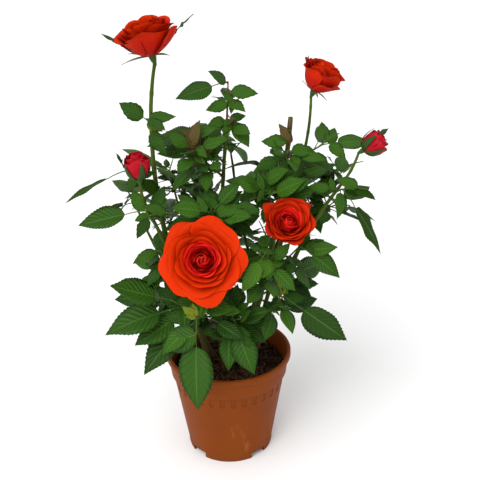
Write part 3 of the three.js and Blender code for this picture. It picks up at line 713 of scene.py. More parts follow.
def stem_curve(limb, at, toward, length):
    curve, radius_at = limbs[limb]
    spot, ahead = curve.point(at), curve.ahead(at)
    if at == 1:
        start = spot + ahead * (CLEAR + 0.2)
    else:
        start = spot + unit(toward - ahead * toward.dot(ahead)) * (radius_at(at) + CLEAR + 0.5)
    end = spot + toward * length
    return Curve(start, (start + end) / 2 + np.array([0, 0, length * 0.05]), end)


def more_leaves(stem, heading, count, draw):
    leaves = []
    for i in range(count):
        root = stem.point(1 - 0.8 * i / count)
        toward = heading + 60 + i * TURN
        rise = draw(*SPRAY["leaf_rise"])
        leaves.append(Leaf(root, toward, rise, draw(*SPRAY["leaf"]), 0, draw))
    return leaves


masses = {}


def set_out_masses():
    """The masses whose leaves stand in the table, one by one."""
    for seed, (name, (limb, at, (heading, rise, length), leaves)) in enumerate(SHOOTS.items()):
        stem = stem_curve(limb, at, headed(heading, rise), length)
        draw = seeded_draws(SEEDS["masses"] + seed)
        grown = []
        for place, toward, leaf_rise, leaf_length, *roll in leaves:
            leaf = Leaf(stem.point(place), toward, leaf_rise, leaf_length, sum(roll), draw)
            grown.append(leaf)
        masses[name] = Mass(limb, at, stem, grown)


def grow_masses():
    """The masses that follow the rule alone, those that the solids have."""
    places = [(limb, at) for limb, spots in SPRAYS.items() for at in spots]
    for turn, (limb, at) in enumerate(places, 1):
        ahead = limbs[limb][0].ahead(at)
        outward = math.degrees(math.atan2(ahead[1] + 0.4, ahead[0]))
        aside = SPRAY["aside"] if turn % 2 else -SPRAY["aside"]
        heading = outward if at == 1 else outward + aside
        name = "foliage_" + limb.replace("bough_", "").replace("cane_", "inner_") + f"_{turn}"
        draw = seeded_draws(SEEDS["sprays"] + turn)
        stem = stem_curve(limb, at, headed(heading, draw(*SPRAY["rise"])), SPRAY["length"])
        if name in NODES:
            masses[name] = Mass(limb, at, stem, more_leaves(stem, heading, SPRAY["leaves"], draw))


set_out_masses()
grow_masses()


# ------------------------------------------------------------------ what a leaf keeps clear of
def solid_tree(names):
    corners, faces = [], []
    for name in names:
        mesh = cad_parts[name].data
        start = len(corners)
        corners.extend(Vector(v.co) * METRE for v in mesh.vertices)
        faces.extend([start + i for i in p.vertices] for p in mesh.polygons)
    return BVHTree.FromPolygons(corners, faces)


def reach_box(node):
    low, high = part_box(node)
    return np.array(low) * METRE, np.array(high) * METRE


RIGID = solid_tree([n for n in NODES if not n.startswith("foliage_")])
FINER_MARGIN = 5.0  # how far finer leaves may go past the box of their own mass
AIMED_MARGIN = 14.0  # and the leaves of the tables that their solid has no room for
LEAF_CLEAR = 1.2  # from a leaflet's middle and edges to any limb, bloom or pot
taken = []  # middles, sizes of the leaflets so far


def blade_middle(blade, share=0.5):
    """The point of its sagging middle line that lies at that share of its length."""
    root, along, facing, length = blade
    return root + along * length * share - facing * 0.06 * length * share * share


def in_crown(blade):
    tip = (blade.root + blade.along * blade.length - CROWN_MIDDLE) / CROWN_REACH
    return (tip ** 4).sum() < 1


def clear_of_rigid(blade):
    side = np.cross(blade.along, blade.facing) * blade.length * LEAF_WIDTH * 0.5
    spots = [blade_middle(blade, s) for s in (0.3, 0.6, 0.85, 1)]
    spots += [blade_middle(blade, 0.45) + side * k for k in (-0.9, 0.9)]
    return all(RIGID.find_nearest(Vector(s))[3] > LEAF_CLEAR for s in spots)


def hides_bloom(blade):
    """True in the free space before a bloom's face, which its leaves leave open."""
    for _, seat, facing, opened, petal, *_ in BLOOMS.values():
        away = blade_middle(blade, 0.6) - np.array(seat)
        ahead = headed(*facing)
        forward = away.dot(ahead)
        aside = np.linalg.norm(away - ahead * forward)
        if -4 < forward < 100 and aside < petal * (0.75 + 0.5 * opened):
            return True
    return False


def over_open_soil(blade):
    """True low on the right in front, where the soil shows."""
    x, y, z = blade_middle(blade)
    return z < 150 and x > 2 and y < 12


def roomy(blade, low, high, margin):
    """True if it stays in its mass's box, give or take the margin, and lies on no other leaflet."""
    tip = blade_middle(blade, 1)
    if (tip < low - margin).any() or (tip > high + margin).any():
        return False
    middle = blade_middle(blade)
    for other, length in taken:
        if np.linalg.norm(other - middle) < 0.3 * min(length, blade.length) + 1.5:
            return False
    return True


def fits(blade, low, high, margin):
    inside = in_crown(blade) and roomy(blade, low, high, margin) and clear_of_rigid(blade)
    return inside and not hides_bloom(blade) and not over_open_soil(blade)


# ------------------------------------------------------------------ leaflets
def leaf_outline(tooth):
    """Rounded at the foot, widest before the middle and pointed, with teeth that look forward."""

    def outline(along, cross, row):
        if along < 0.4:
            wide = math.sqrt(max(1 - ((0.4 - along) / 0.4) ** 2, 0)) ** 0.9
        else:
            t = (along - 0.4) / 0.6
            wide = (1 - t) ** 1.2 * (1 + 1.1 * t - 0.35 * t * t)
        x, y = along, cross * wide
        if abs(cross) > 0.99 and 0 < along < 1:
            if row % 2:
                x += tooth * 0.3
                y *= 1 + tooth
            else:
                y *= 1 - tooth * 0.6
        return x, y

    return outline


SMALL_BLADE = blade_shape(11, (-1, -0.5, 0, 0.5, 1), leaf_outline(0.05))
LARGE_BLADE = blade_shape(31, (-1, -0.62, -0.28, -0.03, 0.03, 0.28, 0.62, 1), leaf_outline(0.042))
LARGE_FROM = 27.0  # leaflets longer than this get the large blade
LEAF_FORM = {  # the least and most of each leaflet
    "fullness": (0.9, 1.1), "bend": (0.02, 0.17), "fold": (0.08, 0.34), "twist": (-0.3, 0.3),
    "waves": (0.25, 0.9), "phase": (0, 6), "sway": (-0.05, 0.05),
}
leaf_draw = np.random.default_rng(41)


def leaflet_points(shape, blade):
    """The blade's corners, folded along its rib, bent down, twisted and wavy at its edge."""
    root, along, facing, length = blade
    side = np.cross(along, facing)
    reach = length + LEAF_SINK
    start = root - along * LEAF_SINK
    t, across, thick = shape.corners.T
    form = {part: leaf_draw.uniform(*span) for part, span in LEAF_FORM.items()}
    half = across * length * LEAF_WIDTH * 0.5 * form["fullness"]
    bend = form["bend"]
    ripple = np.sin(t * 13 + form["phase"] + np.sign(across)) * np.abs(across) ** 1.5
    lift = form["fold"] * np.abs(half) - bend * reach * t * t + 0.18 * thick
    lift += form["waves"] * ripple
    lift -= 0.10 * np.abs(half) ** 2 / (length * 0.3)
    turn = form["twist"] * t
    flat = half * np.cos(turn) - lift * np.sin(turn) + form["sway"] * reach * t * t
    rise = half * np.sin(turn) + lift * np.cos(turn)
    forward = reach * t * (1 - 0.3 * bend * t)
    return start + forward[:, None] * along + flat[:, None] * side + rise[:, None] * facing


# the greens of each mass's leaves, dealt out in turn: partly the leaves' own tones, partly painted
# shade, since leaf_dark goes only to the low and inner masses that the crown shades
TONES = {
    "foliage_centre_top": ["leaf_deep", "leaf_green", "leaf_green", "leaf_green", "leaf_green",
                           "leaf_green", "leaf_deep", "leaf_deep"],
    "foliage_upper_left": ["leaf_deep", "leaf_green", "leaf_deep"],
    "foliage_left_arm": ["leaf_matt", "leaf_deep"],
    "foliage_right_node": ["leaf_matt", "leaf_green"],
    "foliage_centre_left": ["leaf_green", "leaf_green", "leaf_green", "leaf_deep", "leaf_green",
                            "leaf_green", "leaf_bronze"],
    "foliage_centre": ["leaf_green", "leaf_green", "leaf_deep"],
    "foliage_centre_right": ["leaf_green", "leaf_green", "leaf_deep", "leaf_green"],
    "foliage_right_top": ["leaf_green", "leaf_green", "leaf_deep"],
    "foliage_right_heart": ["leaf_green", "leaf_green", "leaf_deep"],
    "foliage_front": ["leaf_deep", "leaf_dark", "leaf_green", "leaf_deep"],
    "foliage_front_right": ["leaf_deep", "leaf_dark", "leaf_deep"],
    "foliage_lower_left": ["leaf_deep", "leaf_deep", "leaf_dark"],
    "foliage_lower_right": ["leaf_dark", "leaf_green", "leaf_deep"],
    "foliage_between_blooms": ["leaf_fresh", "leaf_green", "leaf_green"],
    "foliage_left_middle": ["leaf_green", "leaf_deep", "leaf_green", "leaf_fresh"],
}
# leaf_dark here is painted shade on the inner masses
USUAL_TONES = ["leaf_deep", "leaf_green", "leaf_dark"]

RED_SHOOTS = ("foliage_centre_top", "foliage_centre_left", "foliage_centre_right")
STEM_RADII = (1.35, 0.7)
SIDE_TWIG_RADII = (0.85, 0.5)
STALK_RADII = (0.62, 0.42)
ON_SOLID = 1.5  # a leaflet whose middle is nearer than this to its mass's solid is one of its leaflets

foliage_nodes = [n for n in NODES if n.startswith("foliage_")]
leaf_finishes = [*GREENS, "leaf_matt", "leaf_under", "leaf_rib"]
twig_heap = Heap("twigs", "cane", ["twig_green", "twig_red"], foliage_nodes)
leaf_heaps = {}
for side in ("left", "right"):
    for depth in ("front", "back"):
        leaf_heaps[side, depth] = Heap(f"leaves_{side}_{depth}", "leaf", leaf_finishes, [])
mass_heaps = {}
for node in masses:
    low, high = reach_box(node)
    middle = (low + high) / 2
    heap = leaf_heaps["right" if middle[0] > 10 else "left", "back" if middle[1] > 15 else "front"]
    mass_heaps[node] = heap
    heap.nodes.append(node)


def put_twig(curve, radii, skin):
    twig_heap.add(ROD_STEM, rod_points(ROD_STEM, curve, tapering(*radii)), skin)


def put_leaf(node, leaf, blades, tone, skin):
    """The leaf's stalk and these leaflets of it."""
    stalk = rod_points(ROD_STALK, leaf.curve, tapering(*STALK_RADII))
    twig_heap.add(ROD_STALK, stalk, skin)
    for blade in blades:
        shape = LARGE_BLADE if blade.length > LARGE_FROM else SMALL_BLADE
        mass_heaps[node].add(shape, leaflet_points(shape, blade), tone, "leaf_under", "leaf_rib")
        taken.append((blade_middle(blade), blade.length))


def put_if_it_fits(node, leaf, margin, tone, skin):
    """The leaf with those of its leaflets that fit, if the end one does."""
    low, high = reach_box(node)
    there = [b for b in leaf.blades if fits(b, low, high, margin)]
    if not there or there[0] is not leaf.blades[0]:
        return False
    put_leaf(node, leaf, there, tone, skin)
    return True


def grow_main_leaves():
    """The leaves that the solids have, then those of the tables that their solid has no room for."""
    left_out = []
    for node, (limb, at, stem, leaves) in masses.items():
        own = solid_tree([node])
        tones = TONES.get(node, USUAL_TONES)
        skin = "twig_red" if node in RED_SHOOTS else "twig_green"
        rooted = Curve(limbs[limb][0].point(at), (stem.start + stem.bend) / 2, stem.end)
        put_twig(rooted, STEM_RADII, skin)
        for i, leaf in enumerate(leaves):
            tone = tones[i % len(tones)]
            there = [b for b in leaf.blades
                     if own.find_nearest(Vector(blade_middle(b)))[3] < ON_SOLID]
            if there:
                put_leaf(node, leaf, there, tone, skin)
            else:
                left_out.append((node, leaf, AIMED_MARGIN, tone, skin))
    for entry in left_out:
        put_if_it_fits(*entry)


# more leaves on the stems of the tables, and young ones, not yet full grown: place, heading, rise
# and length
ADDED_LEAVES = {
    "foliage_front_right": [(1, 148, 65, 30), (0.9, 33, 46, 26), (0.8, 52, 75, 38)],
    "foliage_lower_left": [(0.9, 124, 50, 28), (0.7, 155, 60, 40), (0.8, -168, 17, 30)],
    "foliage_left_middle": [(1, 164, -52, 24), (1, 133, 47, 28), (0.9, 140, 48, 38), (0.7, 95, 60, 28)],
    "foliage_between_blooms": [(0.9, 171, 42, 30), (0.8, 172, -15, 24)],
    "foliage_left": [(0.4, 135, 38, 32), (0.5, 46, 38, 26)],
}
YOUNG_LEAVES = {
    "foliage_centre_left": [(0.9, -160, 62, 18), (0.8, 150, 50, 16), (1, 30, 60, 16)],
    "foliage_centre_right": [(1, 150, 55, 22), (0.9, 100, 60, 16)],
    "foliage_centre_top": [(0.06, -70, 40, 22), (0.02, -20, 30, 16), (0.02, -150, 40, 16)],
    "foliage_front": [(1, 175, 40, 18), (1, 130, 62, 15), (0.95, 20, 45, 14), (1, -150, 22, 13),
                      (0.9, 95, 70, 17), (0.85, 178, 60, 17), (0.8, 40, 60, 15), (0.95, -170, 60, 14),
                      (1, 60, 50, 15)],
    "foliage_lower_right": [(1, 130, 60, 18), (0.95, 170, 35, 14), (1, 70, 50, 14)],
    "foliage_upper_left": [(0.8, 10, -40, 20), (0.6, -30, -52, 16)],
}
YOUNG_TONES = ("leaf_young", "leaf_young", "leaf_fresh")


def leaves_on(stem, leaves, seed):
    draw = seeded_draws(seed)
    return [Leaf(stem.point(place), heading, rise, length, 0, draw)
            for place, heading, rise, length in leaves]


def grow_added_leaves():
    for node, entries in ADDED_LEAVES.items():
        tones = TONES.get(node, ["leaf_green", "leaf_green"])
        leaves = leaves_on(masses[node].stem, entries, SEEDS["added"] + len(node))
        for i, leaf in enumerate(leaves):
            put_if_it_fits(node, leaf, AIMED_MARGIN, tones[i % 2], "twig_green")


def grow_young_leaves():
    for node, entries in YOUNG_LEAVES.items():
        leaves = leaves_on(masses[node].stem, entries, SEEDS["young"] + len(node))
        for i, leaf in enumerate(leaves):
            if clear_of_rigid(leaf.blades[0]):
                tone = "leaf_bronze" if node in RED_SHOOTS else YOUNG_TONES[i % 3]
                put_leaf(node, leaf, leaf.blades, tone, "twig_red")


FINER = {"twig": (14, 30), "at": (0.25, 0.95), "stray": (-30, 30), "twig_rise": (0, 50),
         "leaves": 4, "leaf": (26, 54), "leaf_rise": (-25, 45)}
FINER_TWIGS = {
    "foliage_centre_top": 1, "foliage_upper_left": 1, "foliage_left_arm": 0, "foliage_left": 1,
    "foliage_lower_left": 2, "foliage_front": 2, "foliage_right_top": 1, "foliage_right_node": 1,
    "foliage_left_9": 2, "foliage_left_10": 3, "foliage_centre_right": 3, "foliage_lower_right": 3,
    "foliage_right": 2, "foliage_front_right": 7, "foliage_left_middle": 8,
    "foliage_centre": 10, "foliage_right_heart": 10, "foliage_between_blooms": 10,
}
USUAL_TWIGS = 7


def side_shoot(stem, turn, draw):
    """A finer twig off the stem, with its leaves."""
    start = stem.point(draw(*FINER["at"]))
    heading = turn * TURN + draw(*FINER["stray"])
    toward = headed(heading, draw(*FINER["twig_rise"]))
    length = draw(*FINER["twig"])
    end = start + toward * length
    twig = Curve(start, (start + end) / 2 + np.array([0, 0, length * 0.08]), end)
    leaves = []
    for i in range(FINER["leaves"]):
        rise = draw(*FINER["leaf_rise"])
        aside = 60 + i * TURN if i else 0
        root = twig.point(1 - i / FINER["leaves"])
        leaves.append(Leaf(root, heading + aside, rise, draw(*FINER["leaf"]), 0, draw))
    return twig, leaves


def grow_finer_twigs():
    """Finer shoots and leaves of the same rule, within the reach of the mass they belong to."""
    for index, (node, mass) in enumerate(masses.items()):
        tones = TONES.get(node, USUAL_TONES)
        draw = seeded_draws(SEEDS["finer"] + index)
        skin = "twig_red" if node == "foliage_centre_top" else "twig_green"
        for turn in range(FINER_TWIGS.get(node, USUAL_TWIGS)):
            twig, leaves = side_shoot(mass.stem, turn, draw)
            put = [put_if_it_fits(node, leaf, FINER_MARGIN, tones[(i + turn) % len(tones)], skin)
                   for i, leaf in enumerate(leaves)]
            if any(put):
                put_twig(twig, SIDE_TWIG_RADII, skin)


# ------------------------------------------------------------------ blooms
def petal_line(lean, length, start, lip):
    """How far out and up a petal's middle line runs. lip turns its last part over, in degrees."""
    steps = 32
    v = (np.arange(steps) + 0.5) / steps
    angle = np.where(v < 0.5, mix(lean[0], lean[1], v * 2), mix(lean[1], lean[2], v * 2 - 1))
    angle = np.radians(angle + lip * smooth((v - 0.78) / 0.22))
    out = start + np.concatenate([[0], np.cumsum(np.sin(angle))]) * length / steps
    up = np.concatenate([[0], np.cumsum(np.cos(angle))]) * length / steps
    grid = np.linspace(0, 1, steps + 1)
    return lambda v: (np.interp(v, grid, out), np.interp(v, grid, up))


def petal_points(shape, place, turn, lean, length, width, start, lip=0.0, spiral=1.4, cap=0.95,
                 ruffle=0.0, phase=0.0, flare=0.0, thick=0.35):
    """The petal's corners, curved round the bloom's axis, leaning out and ruffled at its rim.

    cap keeps it from closing round the axis. flare lifts one side of its rim off the next petal.
    """
    line = petal_line(lean, length, start, lip)
    v_all, x_all, side = shape.corners[:, 0], shape.corners[:, 1], shape.corners[:, 2]

    def spot(x, v):
        out, up = line(np.clip(v, 0, 1))
        angle = math.radians(turn) + x * np.minimum(width / 2 / np.maximum(out, 1), cap)
        far = out + spiral * x * v + ruffle * np.sin(x * 5 + phase) * v ** 3
        far = far + flare * np.maximum(x, 0) ** 3 * v
        rise = up + ruffle * 0.8 * np.cos(x * 4 + phase * 1.7) * v ** 3
        return np.stack([np.cos(angle) * far, np.sin(angle) * far, rise], axis=1)

    across = spot(x_all + 0.02, v_all) - spot(x_all - 0.02, v_all)
    along = spot(x_all, np.minimum(v_all + 0.02, 1)) - spot(x_all, np.maximum(v_all - 0.02, 0))
    inward = unit(np.cross(across, along) + 1e-9)
    points = spot(x_all, v_all) - inward * side[:, None] * thick
    return points @ np.array(place.to_3x3()).T + np.array(place.translation)


def petal_outline(corner, point, notch):
    """Narrow at the foot, with a rounded rim, a small point in its middle and a dip on each side."""

    def outline(along, cross, row):
        wide = mix(0.42, 1.0, float(smooth(along / 0.6)))
        top = 1 - corner * abs(cross) ** 2.8
        top += point * math.exp(-(cross / 0.16) ** 2)
        top -= notch * math.exp(-((abs(cross) - 0.5) / 0.2) ** 2)
        return along * top, cross * wide

    return outline


def evenly(count):
    return tuple(np.linspace(-1, 1, count))


WIDE_PETAL = blade_shape(16, evenly(15), petal_outline(0.2, 0.03, 0.012))
POINTED_PETAL = blade_shape(16, evenly(15), petal_outline(0.34, 0.05, 0.0))
HEART_PETAL = blade_shape(12, evenly(11), petal_outline(0.2, 0.03, 0.0))


def pointed_oval(along, cross, row):
    wide = math.sin(math.pi * min(0.12 + along * 0.88, 1)) ** 0.8 * (1 - 0.5 * along)
    return along, cross * (wide + 1e-4)


def lobed(along, cross, row):
    """A long sepal: broad at the foot, then narrow with small lobes on both sides, and a leafy tip."""
    core = 0.5 - 0.32 * min(along / 0.3, 1)
    tip = 0.5 * math.exp(-((along - 0.86) / 0.09) ** 2)
    lobe = (0.75 if row % 3 == 1 else 0) * (0.2 < along < 0.75)
    wide = (core + tip) * (1 - along ** 8)
    if abs(cross) > 0.99:
        wide += lobe
    return along + 0.04 * lobe * abs(cross), cross * wide


SEPAL = blade_shape(8, evenly(5), pointed_oval)
LONG_SEPAL = blade_shape(18, evenly(5), lobed)


def outer_lean(opened):
    """How far the outer petals lean out at their foot, middle and rim, in degrees."""
    return 78 - 14 * opened, 14 + 43 * opened, 110 * opened ** 1.5 - 10


def bloom_place(seat, facing):
    turn = Vector((0, 0, 1)).rotation_difference(Vector(headed(*facing)))
    return Matrix.Translation(Vector(seat)) @ turn.to_matrix().to_4x4()


USUAL_PETAL = 40  # the length that ruffles and laps are given for
PETAL_FINISHES = ["petal", "deep_petal", "petal_back", "heart", "heart_back", "bud_petal"]
LOWER_BLOOMS = ["bloom_front", "bloom_right"]
UPPER_BLOOMS = [name for name in BLOOMS if name not in LOWER_BLOOMS]
lower_petals = Heap("petals_of_lower_blooms", "petal", PETAL_FINISHES, LOWER_BLOOMS)
upper_petals = Heap("petals_of_upper_blooms", "petal", PETAL_FINISHES, UPPER_BLOOMS)
calyx_heap = Heap("sepals_and_hips", "petal", ["sepal", "sepal_inside", "hip"], [])

FIRST_PETAL = 59  # the first outer petal's turn
POINTED = 3  # the outer petal that ends in a point, counted from the first
# rings of petals inside the outer one: their place (0 the middle, 1 the heart's rim, 2 the outer
# petals' rim), how many, the lip that their edge turns over, in degrees, and the ruffle
RINGS = (
    (1.66, 5, 45, 1.6), (1.36, 5, 40, 1.2), (1.14, 4, 30, 0.7), (1.0, 5, 16, 0.6),
    (0.87, 4, 10, 0.6), (0.74, 4, 6, 0.5), (0.61, 4, 2, 0.5), (0.49, 3, 0, 0.5),
    (0.37, 3, 0, 0.5), (0.26, 3, -5, 0.4), (0.16, 3, -10, 0.4), (0.07, 2, -20, 0.3),
)
# narrow petals that stand out of the rest: turn, lean at foot, middle and rim, length and width
STRAY_PETALS = {
    "bloom_right": [(143, (60, 56, 100), 1.0, 14), (46, (60, 60, 104), 0.98, 13)],
    "bloom_top_left": [(-30, (76, 50, 26), 1.05, 22)],
    "bloom_top_right": [(-60, (72, 46, 40), 0.92, 24)],
}


def ring_profile(rings, start, heart, outer):
    """The lean, length and rim's distance of a ring of petals, from the rims it lies between."""
    if rings > 1:
        out, up = mix(heart, outer, rings - 1)
    else:
        out, up = heart * (rings, mix(0.93, 1, rings))
    length = math.hypot(out - start, up)
    chord = math.degrees(math.atan2(out - start, up))
    bulge = mix(20, 14, min(rings / 2, 1))
    return (chord + bulge, chord, chord - bulge), length * 1.03, out


def make_petals(name, seed, seat, facing, opened, petal, width):
    """Five outer petals, the rings inside them, and any that stray."""
    place = bloom_place(seat, facing)
    draw = np.random.default_rng(seed)
    start = (1.2 + petal * HIP_WIDTH) * 0.5
    bud = opened < 0.1
    cupped = 0.1 < opened < 0.5
    size = petal / USUAL_PETAL
    uneven = 0.08 if cupped or bud else 0.03
    wave = size * (1.7 if cupped else 1)
    heap = lower_petals if name in LOWER_BLOOMS else upper_petals

    def put(shape, faces, turn, lean, length, wide, lip, spiral, cap, ruffle):
        lean = np.array(lean) + draw.uniform(-2.5, 2.5, 3)
        points = petal_points(shape, place, turn, lean, length * draw.uniform(1 - uneven, 1.03), wide,
                              start, lip, spiral, cap, ruffle * wave, draw.uniform(0, 6),
                              2.5 * size if cupped else 0)
        heap.add(shape, points, *faces)

    outside = ("deep_petal", "petal_back")
    inside = ("petal", "petal") if cupped else ("heart", "heart_back")
    if opened == 1:
        outside = ("petal", "petal_back")
    if bud:
        outside = inside = ("bud_petal", "bud_petal")
    lean = outer_lean(opened)
    for i in range(5):
        shape = POINTED_PETAL if i == POINTED else WIDE_PETAL
        reach = petal * (1.06 if i == POINTED and not bud else 1)
        put(shape, outside, FIRST_PETAL + i * 72, lean, reach, width * (1.0 if bud else 1.3),
            55 if cupped else 6 + 14 * opened, 1.6, 1.2 - 0.2 * opened, 1.8)
    outer = np.array([float(v) for v in petal_line(lean, petal, start, 0)(1.0)])
    heart = petal * np.array([mix(0.16, 0.36, min(opened * 2, 1)), mix(0.96, 0.66, opened)])
    turn = FIRST_PETAL
    for at, count, lip, ruffle in RINGS:
        faces = inside if at <= 1 else outside
        lean, length, out = ring_profile(at, start, heart, outer)
        turn += 180 / count + draw.uniform(-9, 9)
        wide = 2 * out * math.pi / count * 1.45 + 3 * size
        shape = POINTED_PETAL if bud else WIDE_PETAL if at > 1 else HEART_PETAL
        for i in range(count):
            put(shape, faces, turn + i * 360 / count, lean, length, wide, lip * min(opened * 1.6, 1),
                mix(0.9, 1.5, min(at, 1)) * size, 1.9, ruffle)
    for turn, lean, length, wide in STRAY_PETALS.get(name, []):
        put(HEART_PETAL, outside, turn, lean, petal * length, wide, 20, 0, 1.2, 1.0)


# the sepals that curl away thin: turn, length and lean
THIN_SEPALS = {
    "bloom_top_left": [(150, 24, 82), (195, 26, 88), (-40, 20, 92)],
    "bloom_top_right": [(-80, 14, 92), (-40, 15, 98), (190, 14, 60)],
    "bud_left": [(150, 22, 14)],
    "bud_right": [(60, 30, 16), (110, 26, 12), (-60, 24, 14)],
}


def make_calyx(name, seat, facing, opened, petal, sepal, long, radius):
    """The green hip on the stalk, and the sepals round its rim."""
    place = bloom_place(seat, facing)
    hip = 1.2 + petal * HIP_WIDTH
    ahead = headed(*facing)
    seat = np.array(seat, float)
    foot = seat - ahead * petal * (HIP_LENGTH + 0.05)
    neck = Curve(foot, seat - ahead * petal * 0.1, seat + ahead * 1.5)

    def swell(t, turn):
        bulge = (hip - radius) * 0.15 * np.sin(math.pi * t) ** 2
        return mix(radius * 0.95, hip * 0.9, smooth(t * 1.1)) + bulge

    calyx_heap.add(ROD_LIMB, rod_points(ROD_LIMB, neck, swell), "hip")
    for i in range(5):
        if opened < 0.1:
            lean = np.array(outer_lean(opened)) + (6, 2, 4 + 14 * (i % 2))
            wide, start = sepal * 0.42, hip * 0.5 + 0.9
        else:
            lean = mix(5, 110, opened)
            lean = (64, mix(16, lean, 0.7), lean)
            wide, start = sepal * 0.24, hip * 0.75
        points = petal_points(SEPAL, place, i * 72 + 10, lean, sepal, wide, start, thick=0.3,
                              spiral=0)
        calyx_heap.add(SEPAL, points, "sepal_inside", "sepal")
    for turn, length, lean in THIN_SEPALS.get(name, []):
        points = petal_points(SEPAL, place, turn, (70, lean, lean + 10), length, length * 0.3,
                              hip * 0.75, thick=0.3, spiral=0)
        calyx_heap.add(SEPAL, points, "sepal_inside", "sepal")
    for turn, length, lean in long:
        points = petal_points(LONG_SEPAL, place, turn, (64, mix(16, lean, 0.7), lean), length,
                              length * 0.34, hip * 0.75, thick=0.4, spiral=0, ruffle=1.0)
        calyx_heap.add(LONG_SEPAL, points, "sepal", "sepal")


def make_blooms():
    for seed, (name, bloom) in enumerate(BLOOMS.items(), SEEDS["blooms"]):
        _, seat, facing, opened, petal, width, sepal, long = bloom
        make_petals(name, seed, seat, facing, opened, petal, width)
        stalk_radius = limbs["stalk_" + name][1](1)
        make_calyx(name, seat, facing, opened, petal, sepal, long, stalk_radius)


# ------------------------------------------------------------------ pot
POT_STEPS = 160  # five to each dentil of the band
DENTIL_COUNT = 32
DENTIL_BAND = (76.75, 87.25)
FOOT_HEIGHT = 4
INNER_RADIUS = 58.8  # of the pot's wall where the soil ends
INNER_LEVEL = 91.5
NOTCHES = {"count": 4, "first": 42, "size": (0.012, 0.018, 0.0132)}
DRAINS = {"count": 8, "first": 22.5, "place": (0.029, 0, 0.009), "radius": 0.004}
SOIL_STEPS = 96
SOIL_LOOSE = 56  # the radius within which the soil is lumpy
SOIL_SLOPE = 23  # the width of its fall towards the wall


def wall_radius(z):
    return mix(POT_BASE + 0.4, STEP_RADIUS, (z - FOOT_HEIGHT) / (STEP_HEIGHT - FOOT_HEIGHT))


def spun(profile, steps):
    """A closed ring of points in the X-Z plane, turned about Z."""
    mesh = bmesh.new()
    ring = [mesh.verts.new((r, 0, z)) for r, z in profile]
    edges = [mesh.edges.new(pair) for pair in zip(ring, ring[1:])]
    bmesh.ops.spin(mesh, geom=ring + edges, cent=(0, 0, 0), axis=(0, 0, 1), angle=math.tau,
                   steps=steps, use_merge=True, use_duplicate=False)
    bmesh.ops.remove_doubles(mesh, verts=mesh.verts, dist=1e-4)
    bmesh.ops.recalc_face_normals(mesh, faces=mesh.faces)
    return mesh


def finished(mesh, name, finish, slot, nodes):
    bmesh.ops.scale(mesh, vec=(1 / METRE,) * 3, verts=mesh.verts)
    data = bpy.data.meshes.new(name)
    mesh.to_mesh(data)
    mesh.free()
    data.materials.append(FINISHES[finish])
    data.shade_smooth()
    data.set_sharp_from_angle(angle=math.radians(38))
    return dressed(bpy.data.objects.new(name, data), slot, nodes)


def pot_profile():
    """Radius and height, from the middle of the underside up the outside and down the inside."""
    low, high = DENTIL_BAND
    return [
        (0, 0), (PAD_RADIUS, 0), (PAD_RADIUS + 3, FOOT_LIFT), (POT_BASE - 2.5, FOOT_LIFT),
        (POT_BASE - POT_WALL, 0), (POT_BASE, 0), (POT_BASE + 0.8, 3.2),
        (POT_BASE + 0.4, FOOT_HEIGHT), (wall_radius(40), 40), (wall_radius(low), low),
        (wall_radius(high), high), (STEP_RADIUS, STEP_HEIGHT),
        (59.6, 88.6), (60.5, 90), (61.3, 98), (62.1, 104.6),
        (62.6, 106.2), (64.2, 107.1), (POT_RADIUS, 108.2), (POT_RADIUS, POT_HEIGHT - 1.6),
        (POT_RADIUS - 0.5, POT_HEIGHT - 0.5), (POT_RADIUS - 1.6, POT_HEIGHT),
        (POT_RADIUS - 3.2, POT_HEIGHT - 0.3), (61.0, POT_HEIGHT - 1.4),
        (INNER_RADIUS, INNER_LEVEL), (STEP_RADIUS - POT_WALL, STEP_HEIGHT - 0.5),
        (POT_BASE - POT_WALL + 0.4, FOOT_LIFT + 2), (PAD_RADIUS + 2, FOOT_LIFT + 2),
        (PAD_RADIUS - 2, 2), (0, 2)
    ]


def press_dentils(mesh):
    """Presses two of every five faces of the band into the wall."""
    low, high = DENTIL_BAND
    per_dentil = POT_STEPS // DENTIL_COUNT
    bars = {}
    for f in mesh.faces:
        x, y, z = f.calc_center_median()
        if low < z < high and math.hypot(x, y) > wall_radius(low) - 0.5:
            step = int((math.atan2(y, x) % math.tau) / math.tau * POT_STEPS)
            if step % per_dentil in (1, 2):
                bars.setdefault(step // per_dentil, []).append(f)
    for faces in bars.values():
        bmesh.ops.inset_region(mesh, faces=faces, thickness=0.25, depth=-0.6, use_even_offset=True)


def foot_cutters():
    """The notches in the foot and the drain holes in the floor, in metres."""
    cutters = bmesh.new()
    for i in range(NOTCHES["count"]):
        turn = Matrix.Rotation(math.radians(NOTCHES["first"] + i * 360 / NOTCHES["count"]), 4, "Z")
        place = Matrix.Translation((POT_BASE / METRE, 0, 0))
        size = Matrix.Diagonal((*NOTCHES["size"], 1))
        bmesh.ops.create_cube(cutters, size=1, matrix=turn @ place @ size)
    for i in range(DRAINS["count"]):
        turn = Matrix.Rotation(math.radians(DRAINS["first"] + i * 360 / DRAINS["count"]), 4, "Z")
        place = Matrix.Translation(DRAINS["place"])
        radius = DRAINS["radius"]
        bmesh.ops.create_cone(cutters, cap_ends=True, segments=24, radius1=radius, radius2=radius,
                              depth=0.006, matrix=turn @ place)
    mesh = bpy.data.meshes.new("cutters")
    cutters.to_mesh(mesh)
    cutters.free()
    return bpy.data.objects.new("cutters", mesh)


def make_pot():
    mesh = spun(pot_profile(), POT_STEPS)
    press_dentils(mesh)
    pot = finished(mesh, "pot_shell", "pot", "terracotta", ["pot"])
    cutter = foot_cutters()
    bpy.context.scene.collection.objects.link(cutter)
    cut = pot.modifiers.new("openings", "BOOLEAN")
    cut.object = cutter
    cut.solver = "EXACT"
    ready = pot.evaluated_get(bpy.context.evaluated_depsgraph_get())
    mesh = bpy.data.meshes.new_from_object(ready)
    pot.modifiers.clear()
    pot.data = mesh
    bpy.data.objects.remove(cutter)


